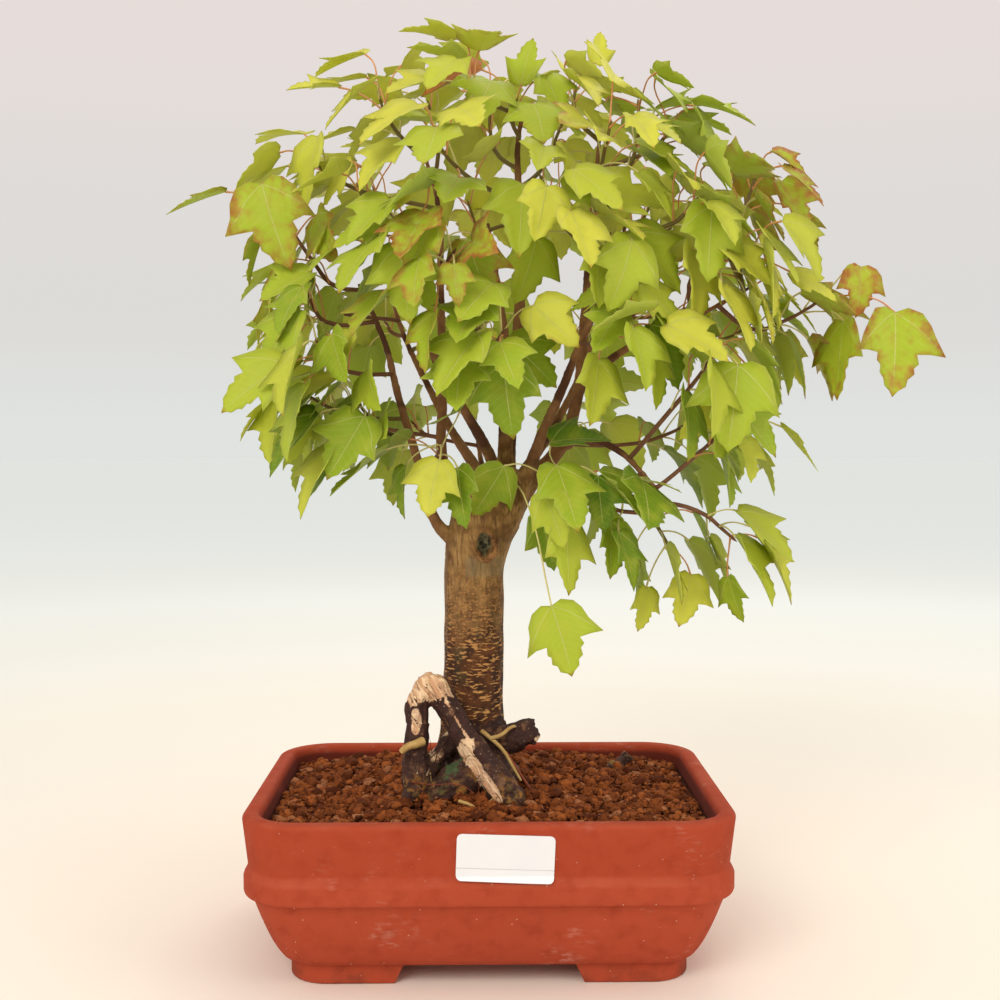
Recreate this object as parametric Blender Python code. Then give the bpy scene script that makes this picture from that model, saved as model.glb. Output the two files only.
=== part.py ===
"""Bonsai tree in a clay pot: a three-lobed maple with granular soil, a label and drainage pieces.

Lengths in the tables are in millimetres and are turned into metres where a mesh is made. The design
is laid out about the pot's middle, with the table that it stands on at z = 0. +X is to the right and
-Y is the front. At the end one empty carries everything, so that the origin is at the middle of the
whole object's footprint.
"""
import math
import random

import bmesh
import bpy
from mathutils import Vector
from mathutils.bvhtree import BVHTree

MM = 0.001
GAP = 0.3               # clearance where two pieces meet
UP = Vector((0.0, 0.0, 1.0))

# ---- pot -------------------------------------------------------------------------------------
POT_LENGTH = 250.0
POT_DEPTH = 182.0
POT_HEIGHT = 87.0
RIM_CORNER = 30.0       # radius of the pot's upright corners at the rim
RIM_ROUND = 3.0         # round-over along the rim's outer edge
WALL = 9.0
FLOOR = 8.0
FOOT_HEIGHT = 9.5
BASE_INSET = 21.0       # how far the wall leans in from the rim to the base, each side
BELLY = 0.66            # how soon the lower wall fills out above the base: 1 is straight, less is fuller
BAND_BOTTOM = 45.5
BAND_TOP = 60.0
BAND_PROUD = 2.2
NECK_INSET = 2.0        # how far the upper wall leans in from the rim down to the band
FOOT_INSET = 1.5
FOOT_LENGTH = 52.0      # length of one corner foot, along X
FOOT_DEPTH = 42.0       # depth of one corner foot, along Y
ARCH_LEAN = 7.0         # how far the ends of the arches between the feet lean
CORNER_STEPS = 5
DRAIN_RADIUS = 9.0
DRAIN_SPACING = 110.0

# ---- soil ------------------------------------------------------------------------------------
SOIL_BELOW_RIM = 10.0   # at the pot's ends
SOIL_CROWN = 7.0        # how much higher the bed is across the pot's middle
SOIL_MOUND = 12.0       # how much higher again it is at the trunk

# ---- drainage --------------------------------------------------------------------------------
MESH_SIZE = 28.0
MESH_HOLES = 3
MESH_BAR = 2.4
MESH_THICK = 1.2
CLIP_WIRE = 1.0         # radius of the wire

# ---- label -----------------------------------------------------------------------------------
LABEL_LENGTH = 48.0
LABEL_HEIGHT = 23.5
LABEL_THICK = 0.4
LABEL_X = 7.5           # the label's middle, from the pot's middle
LABEL_BELOW_RIM = 4.5
LABEL_CORNER = 2.5
LABEL_TILT = math.radians(-2.0)

# ---- tree ------------------------------------------------------------------------------------
TRUNK_RADIUS = 16.8
TRUNK_SIDES = 10
BOUGH_SIDES = 6
LEAF_LENGTH = 39.0
LEAF_THICK = 0.55
STALK_HALF_WIDTH = 0.65
TWIG_RADIUS = 1.15
LONG_SHOOT = 44.0       # a shoot longer than this has four pairs of leaves, and a shorter one three
SHOOT_SPACING = 9.0     # least distance between the places that two shoots grow from
SEED = 2718

TABLES_RIM = 87.0       # the rim's height that the tree's tables below are laid out for
TREE_LIFT = POT_HEIGHT - TABLES_RIM

# Each route is a list of (x, y, z, radius). The trunk's radii are shares of TRUNK_RADIUS.
TRUNK = ((-9, 5, 70, 1.05), (-9, 5, 86, 1.35), (-9, 5, 100, 1.24), (-9, 5, 114, 1.08), (-9, 5, 132, 1.02),
         (-8, 5, 158, 1.0), (-8, 4, 182, 0.98), (-8, 3, 206, 0.99), (-5, 2, 222, 1.06), (-1, 2, 234, 1.16),
         (4, 2, 246, 1.16), (8, 2, 254, 0.9), (10, 2, 260, 0.5))

BOUGHS = {
    "left_low": ((-12, 1, 212, 5.5), (-21, -2, 221, 4.2), (-29, -4, 230, 3.2), (-38, -10, 262, 2.6),
                 (-49, -16, 300, 2.2), (-55, -20, 325, 1.8), (-68, -30, 356, 1.3)),
    "left_back": ((-8, 5, 226, 6.0), (-18, 11, 242, 4.0), (-25, 16, 260, 3.2), (-26, 22, 301, 2.8),
                  (-27, 28, 359, 2.3), (-29, 32, 411, 1.7), (-36, 36, 436, 1.2)),
    "left_front": ((6, -4, 244, 5.5), (2, -12, 262, 3.4), (-10, -20, 285, 2.8), (-21, -28, 303, 2.4),
                   (-32, -36, 324, 2.1), (-43, -42, 345, 1.7), (-58, -52, 374, 1.2)),
    "centre": ((8, 0, 240, 7.0), (9, -2, 264, 4.4), (10, -4, 296, 3.6), (16, -4, 334, 3.2),
               (17, -2, 397, 2.4), (16, -2, 436, 1.7), (20, -4, 456, 1.2)),
    "centre_back": ((9, 5, 243, 6.0), (12, 14, 264, 3.4), (13, 24, 284, 2.8), (12, 38, 320, 2.2),
                    (6, 50, 365, 1.7), (0, 56, 402, 1.2)),
    "right": ((12, 2, 236, 7.5), (24, 6, 252, 5.2), (40, 8, 271, 4.0), (48, 10, 292, 3.5),
              (53, 12, 336, 2.9), (57, 14, 386, 2.3), (59, 15, 413, 1.8), (62, 14, 444, 1.2)),
    "right_front": ((14, -2, 240, 6.5), (22, -6, 258, 3.8), (29, -12, 278, 3.1), (39, -18, 301, 2.6),
                    (47, -24, 322, 2.2), (60, -34, 352, 1.7), (70, -44, 384, 1.2)),
    "right_low": ((40, 8, 270, 3.2), (52, -6, 275, 2.4), (69, -16, 269, 1.9), (83, -22, 255, 1.6),
                  (97, -26, 238, 1.2)),
    "right_out": ((49, 10, 300, 2.8), (64, 8, 316, 2.4), (86, 2, 330, 2.0), (114, -6, 342, 1.6),
                  (140, -14, 356, 1.2)),
    "back_left": ((2, 6, 240, 6.0), (-8, 22, 260, 3.4), (-20, 40, 278, 2.7), (-34, 56, 304, 2.2),
                  (-52, 70, 342, 1.6), (-60, 76, 372, 1.2)),
    "back_right": ((12, 5, 242, 6.0), (24, 22, 262, 3.4), (38, 42, 282, 2.7), (54, 60, 312, 2.1),
                   (68, 72, 352, 1.5), (74, 76, 378, 1.2)),
    "back_low": ((0, 8, 232, 5.5), (0, 26, 238, 3.2), (0, 46, 246, 2.4), (-4, 70, 262, 1.8),
                 (-8, 88, 286, 1.2)),
}

ROOTS = {
    "loop_leg": ((-33, -23, 146, 5.0), (-37, -23, 137, 6.0), (-38, -24, 122, 6.2), (-39, -26, 106, 6.4),
                 (-39, -28, 92, 7.5), (-38, -28, 76, 6.0)),
    "diagonal": ((-37, -22, 141, 5.2), (-30, -23, 144, 6.4), (-23, -24, 133, 6.6), (-15, -26, 120, 6.8),
                 (-6, -30, 107, 7.4), (4, -34, 96, 8.6), (13, -38, 86, 9.4), (19, -41, 74, 7.0)),
    "low_left": ((-16, -6, 112, 7.0), (-26, -16, 106, 5.0), (-34, -26, 97, 4.6), (-42, -35, 87, 4.4),
                 (-48, -41, 76, 3.6)),
    "stub_right": ((-2, 0, 104, 10.0), (8, -8, 110, 8.2), (17, -12, 114, 7.4), (25, -15, 117, 6.6)),
    "front_mass": ((-30, -28, 80, 8.5), (-18, -30, 92, 9.5), (-6, -24, 96, 11.0), (4, -12, 92, 12.0),
                   (8, 4, 82, 11.0)),
    "rear_right": ((0, 8, 80, 9.0), (26, 24, 72, 5.6), (54, 42, 72, 4.4), (74, 52, 79, 4.2),
                   (84, 56, 87, 3.6)),
    "front_right": ((0, -6, 92, 9.0), (16, -14, 84, 6.5), (32, -20, 74, 4.5)),
    "rear_left": ((-14, 12, 92, 9.0), (-28, 24, 84, 6.0), (-44, 34, 72, 4.0)),
}

# Shoots: name, the twig's end, and the leaves whose place is chosen by hand, each as
# (where the blade meets its stalk, the blade's tip, the way its upper side faces).
FRONT = (0.1, -1.0, 0.35)
SHOOTS = (
    ("crown_top", (50, 2, 466), (((58, 2, 479), (62, 2, 497), (0.2, -1.0, 0.2)),)),
    ("bronze_tip", (15, -20, 452), (((17, -22, 461), (22, -22, 486), (-0.5, -1.0, 0.1)),)),
    ("long_left", (-122, -26, 410), (((-139, -20, 405), (-170, -25, 395), (0.0, -0.35, 1.0)),
                                    ((-116, -42, 405), (-105, -50, 361), FRONT))),
    ("upper_right_tip", (148, -10, 424), (((157, -12, 413), (170, -20, 384), FRONT),
                                          ((150, -20, 427), (171, -24, 415), (0.3, -0.6, 0.8)))),
    ("long_right", (188, -24, 358), (((197, -24, 366), (195, -32, 340), (0.3, -1.0, 0.5)),
                                     ((211, -36, 341), (209, -48, 297), (0.35, -1.0, 0.2)),
                                     ((190, -18, 338), (182, -26, 296), (-0.9, -0.6, 0.2)))),
    ("right_shoulder", (98, -2, 444), (((104, 0, 451), (134, 3, 444), (0.0, -0.3, 1.0)),)),
    ("right_face_high", (104, -52, 396), (((111, -62, 391), (107, -76, 352), FRONT),)),
    ("right_face", (112, -66, 318), (((122, -75, 311), (117, -86, 268), FRONT),
                                     ((86, -80, 330), (116, -92, 315), (-0.2, -0.5, 1.0)))),
    ("low_right_tip", (134, -18, 216), (((144, -20, 222), (167, -30, 192), (0.7, -0.5, 0.5)),
                                        ((128, -22, 201), (134, -28, 177), (-0.8, -0.7, 0.3)))),
    ("low_right_inner", (100, -20, 212), (((85, -16, 195), (82, -20, 171), (0.3, -1.0, 0.1)),
                                          ((103, -22, 193), (97, -28, 165), (0.2, -1.0, 0.1)))),
    ("fork_front", (30, -44, 262), (((27, -70, 248), (38, -76, 221), FRONT),
                                    ((55, -56, 256), (57, -62, 228), (0.3, -1.0, 0.3)))),
    ("fork_left", (-26, -36, 272), (((-25, -60, 264), (-33, -67, 236), (-0.2, -1.0, 0.35)),
                                    ((-43, -44, 261), (-46, -49, 234), (-0.9, -0.6, 0.3)))),
    ("left_skirt", (-66, -52, 292), (((-62, -65, 286), (-80, -78, 255), FRONT),)),
    ("left_hem", (-92, -34, 296), (((-95, -42, 291), (-103, -50, 264), FRONT),
                                   ((-110, -30, 294), (-119, -34, 262), (-0.9, -0.5, 0.3)))),
    ("front_left_high", (-40, -70, 374), (((-43, -85, 367), (-40, -100, 331), FRONT),)),
    ("front_centre_high", (26, -68, 402), (((27, -85, 396), (23, -95, 368), FRONT),)),
    ("front_right_high", (62, -66, 378), (((69, -80, 371), (61, -92, 336), (0.5, -1.0, 0.3)),)),
    ("front_centre", (6, -74, 326), (((5, -88, 321), (11, -110, 300), (0.0, -0.55, 1.0)),)),
    ("front_right", (72, -74, 338), (((79, -86, 337), (45, -94, 331), (0.0, -0.3, 1.0)),)),
    ("front_bronze", (-18, -82, 364), (((-17, -95, 357), (-16, -103, 337), FRONT),)),
    ("right_flank", (146, -34, 362), (((156, -40, 361), (180, -48, 347), (0.2, -0.5, 1.0)),)),
    ("left_flank", (-92, -34, 352), (((-91, -41, 360), (-117, -50, 347), (-0.2, -0.4, 1.0)),
                                     ((-98, -46, 341), (-118, -55, 303), (-0.9, -0.5, 0.3)))),
    ("under_right", (58, -34, 244), (((63, -45, 233), (62, -52, 203), (0.8, -1.0, 0.2)),)),
    ("top_left", (-58, -14, 456), ()),
    ("top_left_back", (-36, 22, 466), ()),
    ("top_front", (-10, -38, 458), ()),
    ("top_back", (6, 26, 470), ()),
    ("top_right", (76, -14, 456), ()),
    ("top_right_back", (46, 40, 462), ()),
    ("high_left", (-94, -8, 424), ()),
    ("high_left_front", (-72, -52, 414), ()),
    ("high_front", (-26, -76, 420), ()),
    ("high_right_front", (60, -60, 430), ()),
    ("high_right", (118, 8, 412), ()),
    ("high_right_back", (96, 50, 412), ()),
    ("high_back", (44, 78, 420), ()),
    ("high_back_left", (-14, 80, 424), ()),
    ("high_left_back", (-66, 54, 420), ()),
    ("side_left_back", (-106, 36, 356), ()),
    ("side_back_left", (-62, 84, 346), ()),
    ("side_back", (0, 100, 348), ()),
    ("side_back_right", (62, 96, 350), ()),
    ("side_right_back", (116, 58, 352), ()),
    ("side_right", (146, 14, 340), ()),
    ("low_right_back", (118, 38, 286), ()),
    ("low_back_right", (54, 84, 286), ()),
    ("low_back_left", (-44, 78, 284), ()),
    ("low_left_back", (-90, 34, 292), ()),
    ("low_right", (126, -34, 284), ()),
    ("mid_left_front", (-84, -64, 322), ()),
    ("mid_right_front", (118, -56, 372), ()),
)

# The lone leaf hangs from the fork on a stalk of its own.
HANGING_LEAF_STALK = ((9, -17, 254), (18, -38, 246), (27, -58, 220), (31, -65, 191))
HANGING_LEAF = ((31, -65, 191), (43, -72, 157), FRONT)

LEAF_LOBE = (0.47, 0.58)        # lobe tip, as shares of the leaf's length: sideways, forwards
LEAF_NOTCH = (0.19, 0.60)
LEAF_FOLD = 0.07                # how far the lobes stand above the midrib
LEAF_TIP_DROP = 0.08


# ---- small helpers ---------------------------------------------------------------------------
def material(name, colour, roughness, metallic=0.0):
    """A plain Principled material."""
    made = bpy.data.materials.new(name)
    made.use_nodes = True
    shader = made.node_tree.nodes["Principled BSDF"]
    shader.inputs["Base Color"].default_value = (*colour, 1.0)
    shader.inputs["Roughness"].default_value = roughness
    shader.inputs["Metallic"].default_value = metallic
    return made


def new_object(name, points, faces, surface, smooth=True):
    """An object from points in millimetres and faces that index them."""
    mesh = bpy.data.meshes.new(name)
    mesh.from_pydata([Vector(point) * MM for point in points], [], faces)
    mesh.validate()
    shaper = bmesh.new()
    shaper.from_mesh(mesh)
    bmesh.ops.recalc_face_normals(shaper, faces=shaper.faces[:])
    shaper.to_mesh(mesh)
    shaper.free()
    mesh.materials.append(surface)
    if smooth:
        mesh.shade_smooth()
        mesh.set_sharp_from_angle(angle=math.radians(35.0))
    made = bpy.data.objects.new(name, mesh)
    bpy.context.scene.collection.objects.link(made)
    return made


def helper_object(name, points, faces, surface):
    """A solid that only shapes another object."""
    made = new_object(name, points, faces, surface, smooth=False)
    made.hide_render = True
    made.display_type = 'WIRE'
    return made


def combine(target, other, operation):
    """Add an exact Boolean to an object."""
    step = target.modifiers.new(other.name, 'BOOLEAN')
    step.operation = operation
    step.solver = 'EXACT'
    step.object = other


def loft(rings):
    """Points and faces of a closed solid through rings that have equally many points."""
    count = len(rings[0])
    points = [point for ring in rings for point in ring]
    faces = []
    for level in range(len(rings) - 1):
        low = level * count
        high = low + count
        for index in range(count):
            after = (index + 1) % count
            faces.append((low + index, low + after, high + after, high + index))
    faces.append(tuple(range(count))[::-1])
    faces.append(tuple(range(len(points) - count, len(points))))
    return points, faces


def rounded_ring(length, depth, corner, z):
    """A rectangle with round corners, anticlockwise."""
    ring = []
    for quarter, (side_x, side_y) in enumerate(((1, 1), (-1, 1), (-1, -1), (1, -1))):
        middle_x = side_x * (length / 2 - corner)
        middle_y = side_y * (depth / 2 - corner)
        for step in range(CORNER_STEPS + 1):
            angle = math.radians(90.0) * (quarter + step / CORNER_STEPS)
            ring.append((middle_x + corner * math.cos(angle), middle_y + corner * math.sin(angle), z))
    return ring


def across(direction):
    """Two directions square to a direction, the first as level as it can be."""
    side = direction.cross(UP)
    if side.length < 0.05:
        side = direction.cross(Vector((0.0, 1.0, 0.0)))
    side.normalize()
    return side, direction.cross(side).normalized()


def tube(route, sides, extra=0.0):
    """A closed tapered tube along (x, y, z, radius) stations."""
    centres = [Vector(station[:3]) for station in route]
    rings = []
    side = None
    for index, centre in enumerate(centres):
        before = centres[max(index - 1, 0)]
        after = centres[min(index + 1, len(centres) - 1)]
        direction = (after - before).normalized()
        if side is None:
            side = across(direction)[0]
        side = (side - direction * side.dot(direction)).normalized()
        other = direction.cross(side)
        radius = route[index][3] + extra
        rings.append([centre + radius * (math.cos(turn) * side + math.sin(turn) * other)
                      for turn in (2 * math.pi * step / sides for step in range(sides))])
    return loft(rings)


def box_solid(x_range, y_range, z_range):
    """A box, from three ranges."""
    (x0, x1), (y0, y1), (z0, z1) = x_range, y_range, z_range
    low = [(x0, y0, z0), (x1, y0, z0), (x1, y1, z0), (x0, y1, z0)]
    high = [(x, y, z1) for x, y, _ in low]
    return loft([low, high])


# ---- pot -------------------------------------------------------------------------------------
def pot_section(inset, z):
    """A ring of the pot's outside, a stated distance in from the rim's outline."""
    return rounded_ring(POT_LENGTH - 2 * inset, POT_DEPTH - 2 * inset, RIM_CORNER - 0.45 * inset, z)


def lower_wall_inset(z):
    """How far the lower wall is in from the rim's outline at a height."""
    share = ((z - FOOT_HEIGHT) / (BAND_BOTTOM - FOOT_HEIGHT)) ** BELLY
    return BASE_INSET + share * (NECK_INSET + BAND_PROUD - BASE_INSET)


def lower_wall_height(share):
    """The height a stated share of the way up the lower wall."""
    return FOOT_HEIGHT + share * (BAND_BOTTOM - FOOT_HEIGHT)


def wall_inset(z):
    """How far the outside of the plain wall, without its band, is in from the rim's outline."""
    if z < BAND_BOTTOM:
        return lower_wall_inset(z)
    share = (z - BAND_BOTTOM) / (POT_HEIGHT - RIM_ROUND - BAND_BOTTOM)
    return (NECK_INSET + BAND_PROUD) * max(1 - share, 0.0)


def cavity_ring(clearance, z):
    """A ring of the pot's inside, or of what fills it with a clearance."""
    inset = wall_inset(z) + WALL + clearance
    corner = RIM_CORNER - WALL - 0.45 * wall_inset(z) - clearance
    return rounded_ring(POT_LENGTH - 2 * inset, POT_DEPTH - 2 * inset, max(corner, 4.0), z)


def cavity_rings(clearance):
    """Rings of the pot's inside from its floor to the band, or of what fills it with a clearance."""
    floor_z = FOOT_HEIGHT + FLOOR
    return [cavity_ring(4.0 + clearance, floor_z), cavity_ring(clearance, floor_z + 4.0),
            cavity_ring(clearance, lower_wall_height(0.6)), cavity_ring(clearance, BAND_BOTTOM)]


def build_pot(clay):
    band_face = wall_inset(BAND_TOP) - BAND_PROUD
    outside = [
        pot_section(BASE_INSET + FOOT_INSET, 0.0),
        pot_section(BASE_INSET + FOOT_INSET, FOOT_HEIGHT),
        pot_section(BASE_INSET, FOOT_HEIGHT + 0.6),
        *[pot_section(lower_wall_inset(z), z) for z in map(lower_wall_height, (0.12, 0.3, 0.6, 1.0))],
        pot_section(band_face, BAND_BOTTOM + 2.0),
        pot_section(band_face, BAND_TOP - 3.5),
        pot_section(wall_inset(BAND_TOP), BAND_TOP),
        pot_section(0.0, POT_HEIGHT - RIM_ROUND),
        pot_section(0.3 * RIM_ROUND, POT_HEIGHT - 0.3 * RIM_ROUND),
        pot_section(RIM_ROUND, POT_HEIGHT),
    ]
    pot = new_object("pot", *loft(outside), clay)
    floor_z = FOOT_HEIGHT + FLOOR
    inside = [*cavity_rings(0.0), cavity_ring(0.0, POT_HEIGHT - 2.0), cavity_ring(-2.0, POT_HEIGHT + 0.4)]
    combine(pot, helper_object("cut_cavity", *loft(inside), clay), 'DIFFERENCE')
    half_span = POT_LENGTH / 2 - BASE_INSET - FOOT_INSET - FOOT_LENGTH
    half_depth = POT_DEPTH / 2 - BASE_INSET - FOOT_INSET - FOOT_DEPTH
    reach = POT_LENGTH
    low = [(-half_span, -reach, -5.0), (half_span, -reach, -5.0), (half_span, reach, -5.0),
           (-half_span, reach, -5.0)]
    lean = half_span - ARCH_LEAN
    high = [(-lean, -reach, FOOT_HEIGHT), (lean, -reach, FOOT_HEIGHT), (lean, reach, FOOT_HEIGHT),
            (-lean, reach, FOOT_HEIGHT)]
    combine(pot, helper_object("cut_front_arch", *loft([low, high]), clay), 'DIFFERENCE')
    side_lean = half_depth - ARCH_LEAN
    low = [(-reach, -half_depth, -5.0), (reach, -half_depth, -5.0), (reach, half_depth, -5.0),
           (-reach, half_depth, -5.0)]
    high = [(-reach, -side_lean, FOOT_HEIGHT), (reach, -side_lean, FOOT_HEIGHT),
            (reach, side_lean, FOOT_HEIGHT), (-reach, side_lean, FOOT_HEIGHT)]
    combine(pot, helper_object("cut_side_arch", *loft([low, high]), clay), 'DIFFERENCE')
    for name, side in (("left", -1), ("right", 1)):
        drain = ((side * DRAIN_SPACING / 2, 0, FOOT_HEIGHT - 5, DRAIN_RADIUS),
                 (side * DRAIN_SPACING / 2, 0, floor_z + 5, DRAIN_RADIUS))
        combine(pot, helper_object("cut_drain_" + name, *tube(drain, 16), clay), 'DIFFERENCE')
    return pot


# ---- drainage --------------------------------------------------------------------------------
def build_drain_mesh(name, middle_x, plastic):
    """A square of plastic mesh that lies on the floor over a drain hole."""
    low_z = FOOT_HEIGHT + FLOOR + GAP
    high_z = low_z + MESH_THICK
    hole = (MESH_SIZE - (MESH_HOLES + 1) * MESH_BAR) / MESH_HOLES
    lines = [-MESH_SIZE / 2]
    for _ in range(MESH_HOLES):
        lines.append(lines[-1] + MESH_BAR)
        lines.append(lines[-1] + hole)
    lines.append(lines[-1] + MESH_BAR)
    count = len(lines)
    points = [(middle_x + x, y, z) for z in (low_z, high_z) for y in lines for x in lines]
    layer = count * count
    solid = [[not (row % 2 and column % 2) for column in range(count - 1)] for row in range(count - 1)]

    def is_solid(row, column):
        return 0 <= row < count - 1 and 0 <= column < count - 1 and solid[row][column]

    faces = []
    for row in range(count - 1):
        for column in range(count - 1):
            if not solid[row][column]:
                continue
            a = row * count + column
            corners = (a, a + 1, a + count + 1, a + count)
            faces.append(tuple(reversed(corners)))
            faces.append(tuple(corner + layer for corner in corners))
            beside = ((row - 1, column), (row, column + 1), (row + 1, column), (row, column - 1))
            for edge, (next_row, next_column) in enumerate(beside):
                if not is_solid(next_row, next_column):
                    start = corners[edge]
                    end = corners[(edge + 1) % 4]
                    faces.append((start, end, end + layer, start + layer))
    return new_object(name, points, faces, plastic, smooth=False)


def build_mesh_clip(name, middle_x, metal):
    """A wire staple over the mesh, with both legs down through the drain hole and bent out below."""
    hole = (MESH_SIZE - (MESH_HOLES + 1) * MESH_BAR) / MESH_HOLES
    leg = 0.25 * hole
    top = FOOT_HEIGHT + FLOOR + MESH_THICK + 2 * GAP + CLIP_WIRE
    below = FOOT_HEIGHT - GAP - CLIP_WIRE
    route = ((-DRAIN_RADIUS - 2, below), (-leg - 1.5, below), (-leg, below + 1.5), (-leg, top + 1.0),
             (-leg - 2.0, top + 3.0), (0, top + 5), (leg + 2.0, top + 3.0), (leg, top + 1.0),
             (leg, below + 1.5), (leg + 1.5, below), (DRAIN_RADIUS + 2, below))
    stations = [(middle_x + x, 0.0, z, CLIP_WIRE) for x, z in route]
    return new_object(name, *tube(stations, 6), metal)


# ---- label -----------------------------------------------------------------------------------
def build_label(paper):
    """A thin label with round corners that follows the wall and laps onto the band."""
    top_z = POT_HEIGHT - LABEL_BELOW_RIM
    middle_z = top_z - LABEL_HEIGHT / 2
    outline = []
    for quarter, (side_x, side_z) in enumerate(((1, 1), (-1, 1), (-1, -1), (1, -1))):
        for step in range(4):
            angle = math.radians(90.0) * (quarter + step / 3)
            outline.append((side_x * (LABEL_LENGTH / 2 - LABEL_CORNER) + LABEL_CORNER * math.cos(angle),
                            side_z * (LABEL_HEIGHT / 2 - LABEL_CORNER) + LABEL_CORNER * math.sin(angle)))
    fold_z = BAND_TOP + 1.5
    lap_slope = 0.75

    def turned(x, z):
        turned_x = x * math.cos(LABEL_TILT) - z * math.sin(LABEL_TILT)
        turned_z = x * math.sin(LABEL_TILT) + z * math.cos(LABEL_TILT) + middle_z
        return Vector((LABEL_X + turned_x, -POT_DEPTH / 2, turned_z)) * MM

    shaper = bmesh.new()
    front = [shaper.verts.new(turned(x, z)) for x, z in outline]
    shaper.faces.new(front)
    shaper.normal_update()
    for height in (fold_z, fold_z - BAND_PROUD / lap_slope):
        bmesh.ops.bisect_plane(shaper, geom=shaper.verts[:] + shaper.edges[:] + shaper.faces[:],
                               plane_co=Vector((0, 0, height)) * MM, plane_no=UP)
    for vertex in shaper.verts:
        z = vertex.co.z / MM
        lap = min(lap_slope * max(0.0, fold_z - z), BAND_PROUD)
        vertex.co.y = (-POT_DEPTH / 2 + wall_inset(max(z, fold_z)) - lap - GAP - LABEL_THICK) * MM
    back = bmesh.ops.extrude_face_region(shaper, geom=shaper.faces[:])
    for item in back["geom"]:
        if isinstance(item, bmesh.types.BMVert):
            item.co.y += LABEL_THICK * MM
    bmesh.ops.recalc_face_normals(shaper, faces=shaper.faces[:])
    mesh = bpy.data.meshes.new("label")
    shaper.to_mesh(mesh)
    shaper.free()
    mesh.materials.append(paper)
    label = bpy.data.objects.new("label", mesh)
    bpy.context.scene.collection.objects.link(label)
    return label


# ---- wood ------------------------------------------------------------------------------------
def wood_routes(lift=0.0):
    """Every tube of the tree's wood: name, stations and sides, all raised by a lift."""
    trunk = [(x, y, z, share * TRUNK_RADIUS) for x, y, z, share in TRUNK]
    routes = [("trunk", trunk, TRUNK_SIDES)]
    routes += [("bough_" + name, route, BOUGH_SIDES) for name, route in BOUGHS.items()]
    routes += [("root_" + name, route, BOUGH_SIDES) for name, route in ROOTS.items()]
    return [(name, [(x, y, z + lift, radius) for x, y, z, radius in route], sides)
            for name, route, sides in routes]


def build_wood(bark):
    routes = wood_routes(TREE_LIFT)
    wood = new_object("wood", *tube(routes[0][1], routes[0][2]), bark)
    for name, route, sides in routes[1:]:
        combine(wood, helper_object("join_" + name, *tube(route, sides), bark), 'UNION')
    return wood


# ---- soil ------------------------------------------------------------------------------------
def soil_height(x, y):
    """Height of the soil's surface."""
    half = POT_LENGTH / 2 - WALL
    trunk_x, trunk_y = TRUNK[0][0], TRUNK[0][1]
    bed = POT_HEIGHT - SOIL_BELOW_RIM + SOIL_CROWN * math.cos(0.5 * math.pi * min(abs(x) / half, 1.0))
    mound = SOIL_MOUND * math.exp(-((x - trunk_x) / 42.0) ** 2 - ((y - trunk_y) / 36.0) ** 2)
    return bed + mound + 0.5 * math.sin(0.19 * x + 0.4) * math.cos(0.23 * y)


def build_soil(earth):
    """The bed fills the pot's inside, less the roots and the drainage pieces."""
    floor_z = FOOT_HEIGHT + FLOOR + GAP
    levels = cavity_rings(2 * GAP)
    levels[0] = [(x, y, floor_z) for x, y, _ in levels[0]]
    top = cavity_ring(2 * GAP, POT_HEIGHT - SOIL_BELOW_RIM)
    levels.append([(x, y, soil_height(x, y)) for x, y, _ in top])
    points, faces = loft(levels)
    faces.pop()
    count = len(top)
    outer = list(range(len(points) - count, len(points)))
    for share in (0.78, 0.54, 0.3):
        start = len(points)
        for x, y, _ in top:
            points.append((share * x, share * y, soil_height(share * x, share * y)))
        inner = list(range(start, start + count))
        for index in range(count):
            after = (index + 1) % count
            faces.append((outer[index], outer[after], inner[after], inner[index]))
        outer = inner
    points.append((0.0, 0.0, soil_height(0.0, 0.0)))
    for index in range(count):
        faces.append((outer[index], outer[(index + 1) % count], len(points) - 1))
    soil = new_object("soil", points, faces, earth)
    for name, route, sides in wood_routes(TREE_LIFT):
        if min(route[0][2], route[-1][2]) < POT_HEIGHT + SOIL_MOUND:
            bigger = helper_object("socket_" + name, *tube(route, sides, 2 * GAP), earth)
            combine(soil, bigger, 'DIFFERENCE')
    for name, side in (("left", -1), ("right", 1)):
        middle = side * DRAIN_SPACING / 2
        half = MESH_SIZE / 2 + GAP
        pocket = box_solid((middle - half, middle + half), (-half, half),
                           (0.0, floor_z + MESH_THICK + GAP))
        combine(soil, helper_object("pocket_mesh_" + name, *pocket, earth), 'DIFFERENCE')
        clip = box_solid((middle - 7, middle + 7), (-CLIP_WIRE - GAP, CLIP_WIRE + GAP),
                         (0.0, floor_z + MESH_THICK + 2 * CLIP_WIRE + 6.5))
        combine(soil, helper_object("pocket_clip_" + name, *clip, earth), 'DIFFERENCE')
    return soil


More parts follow.
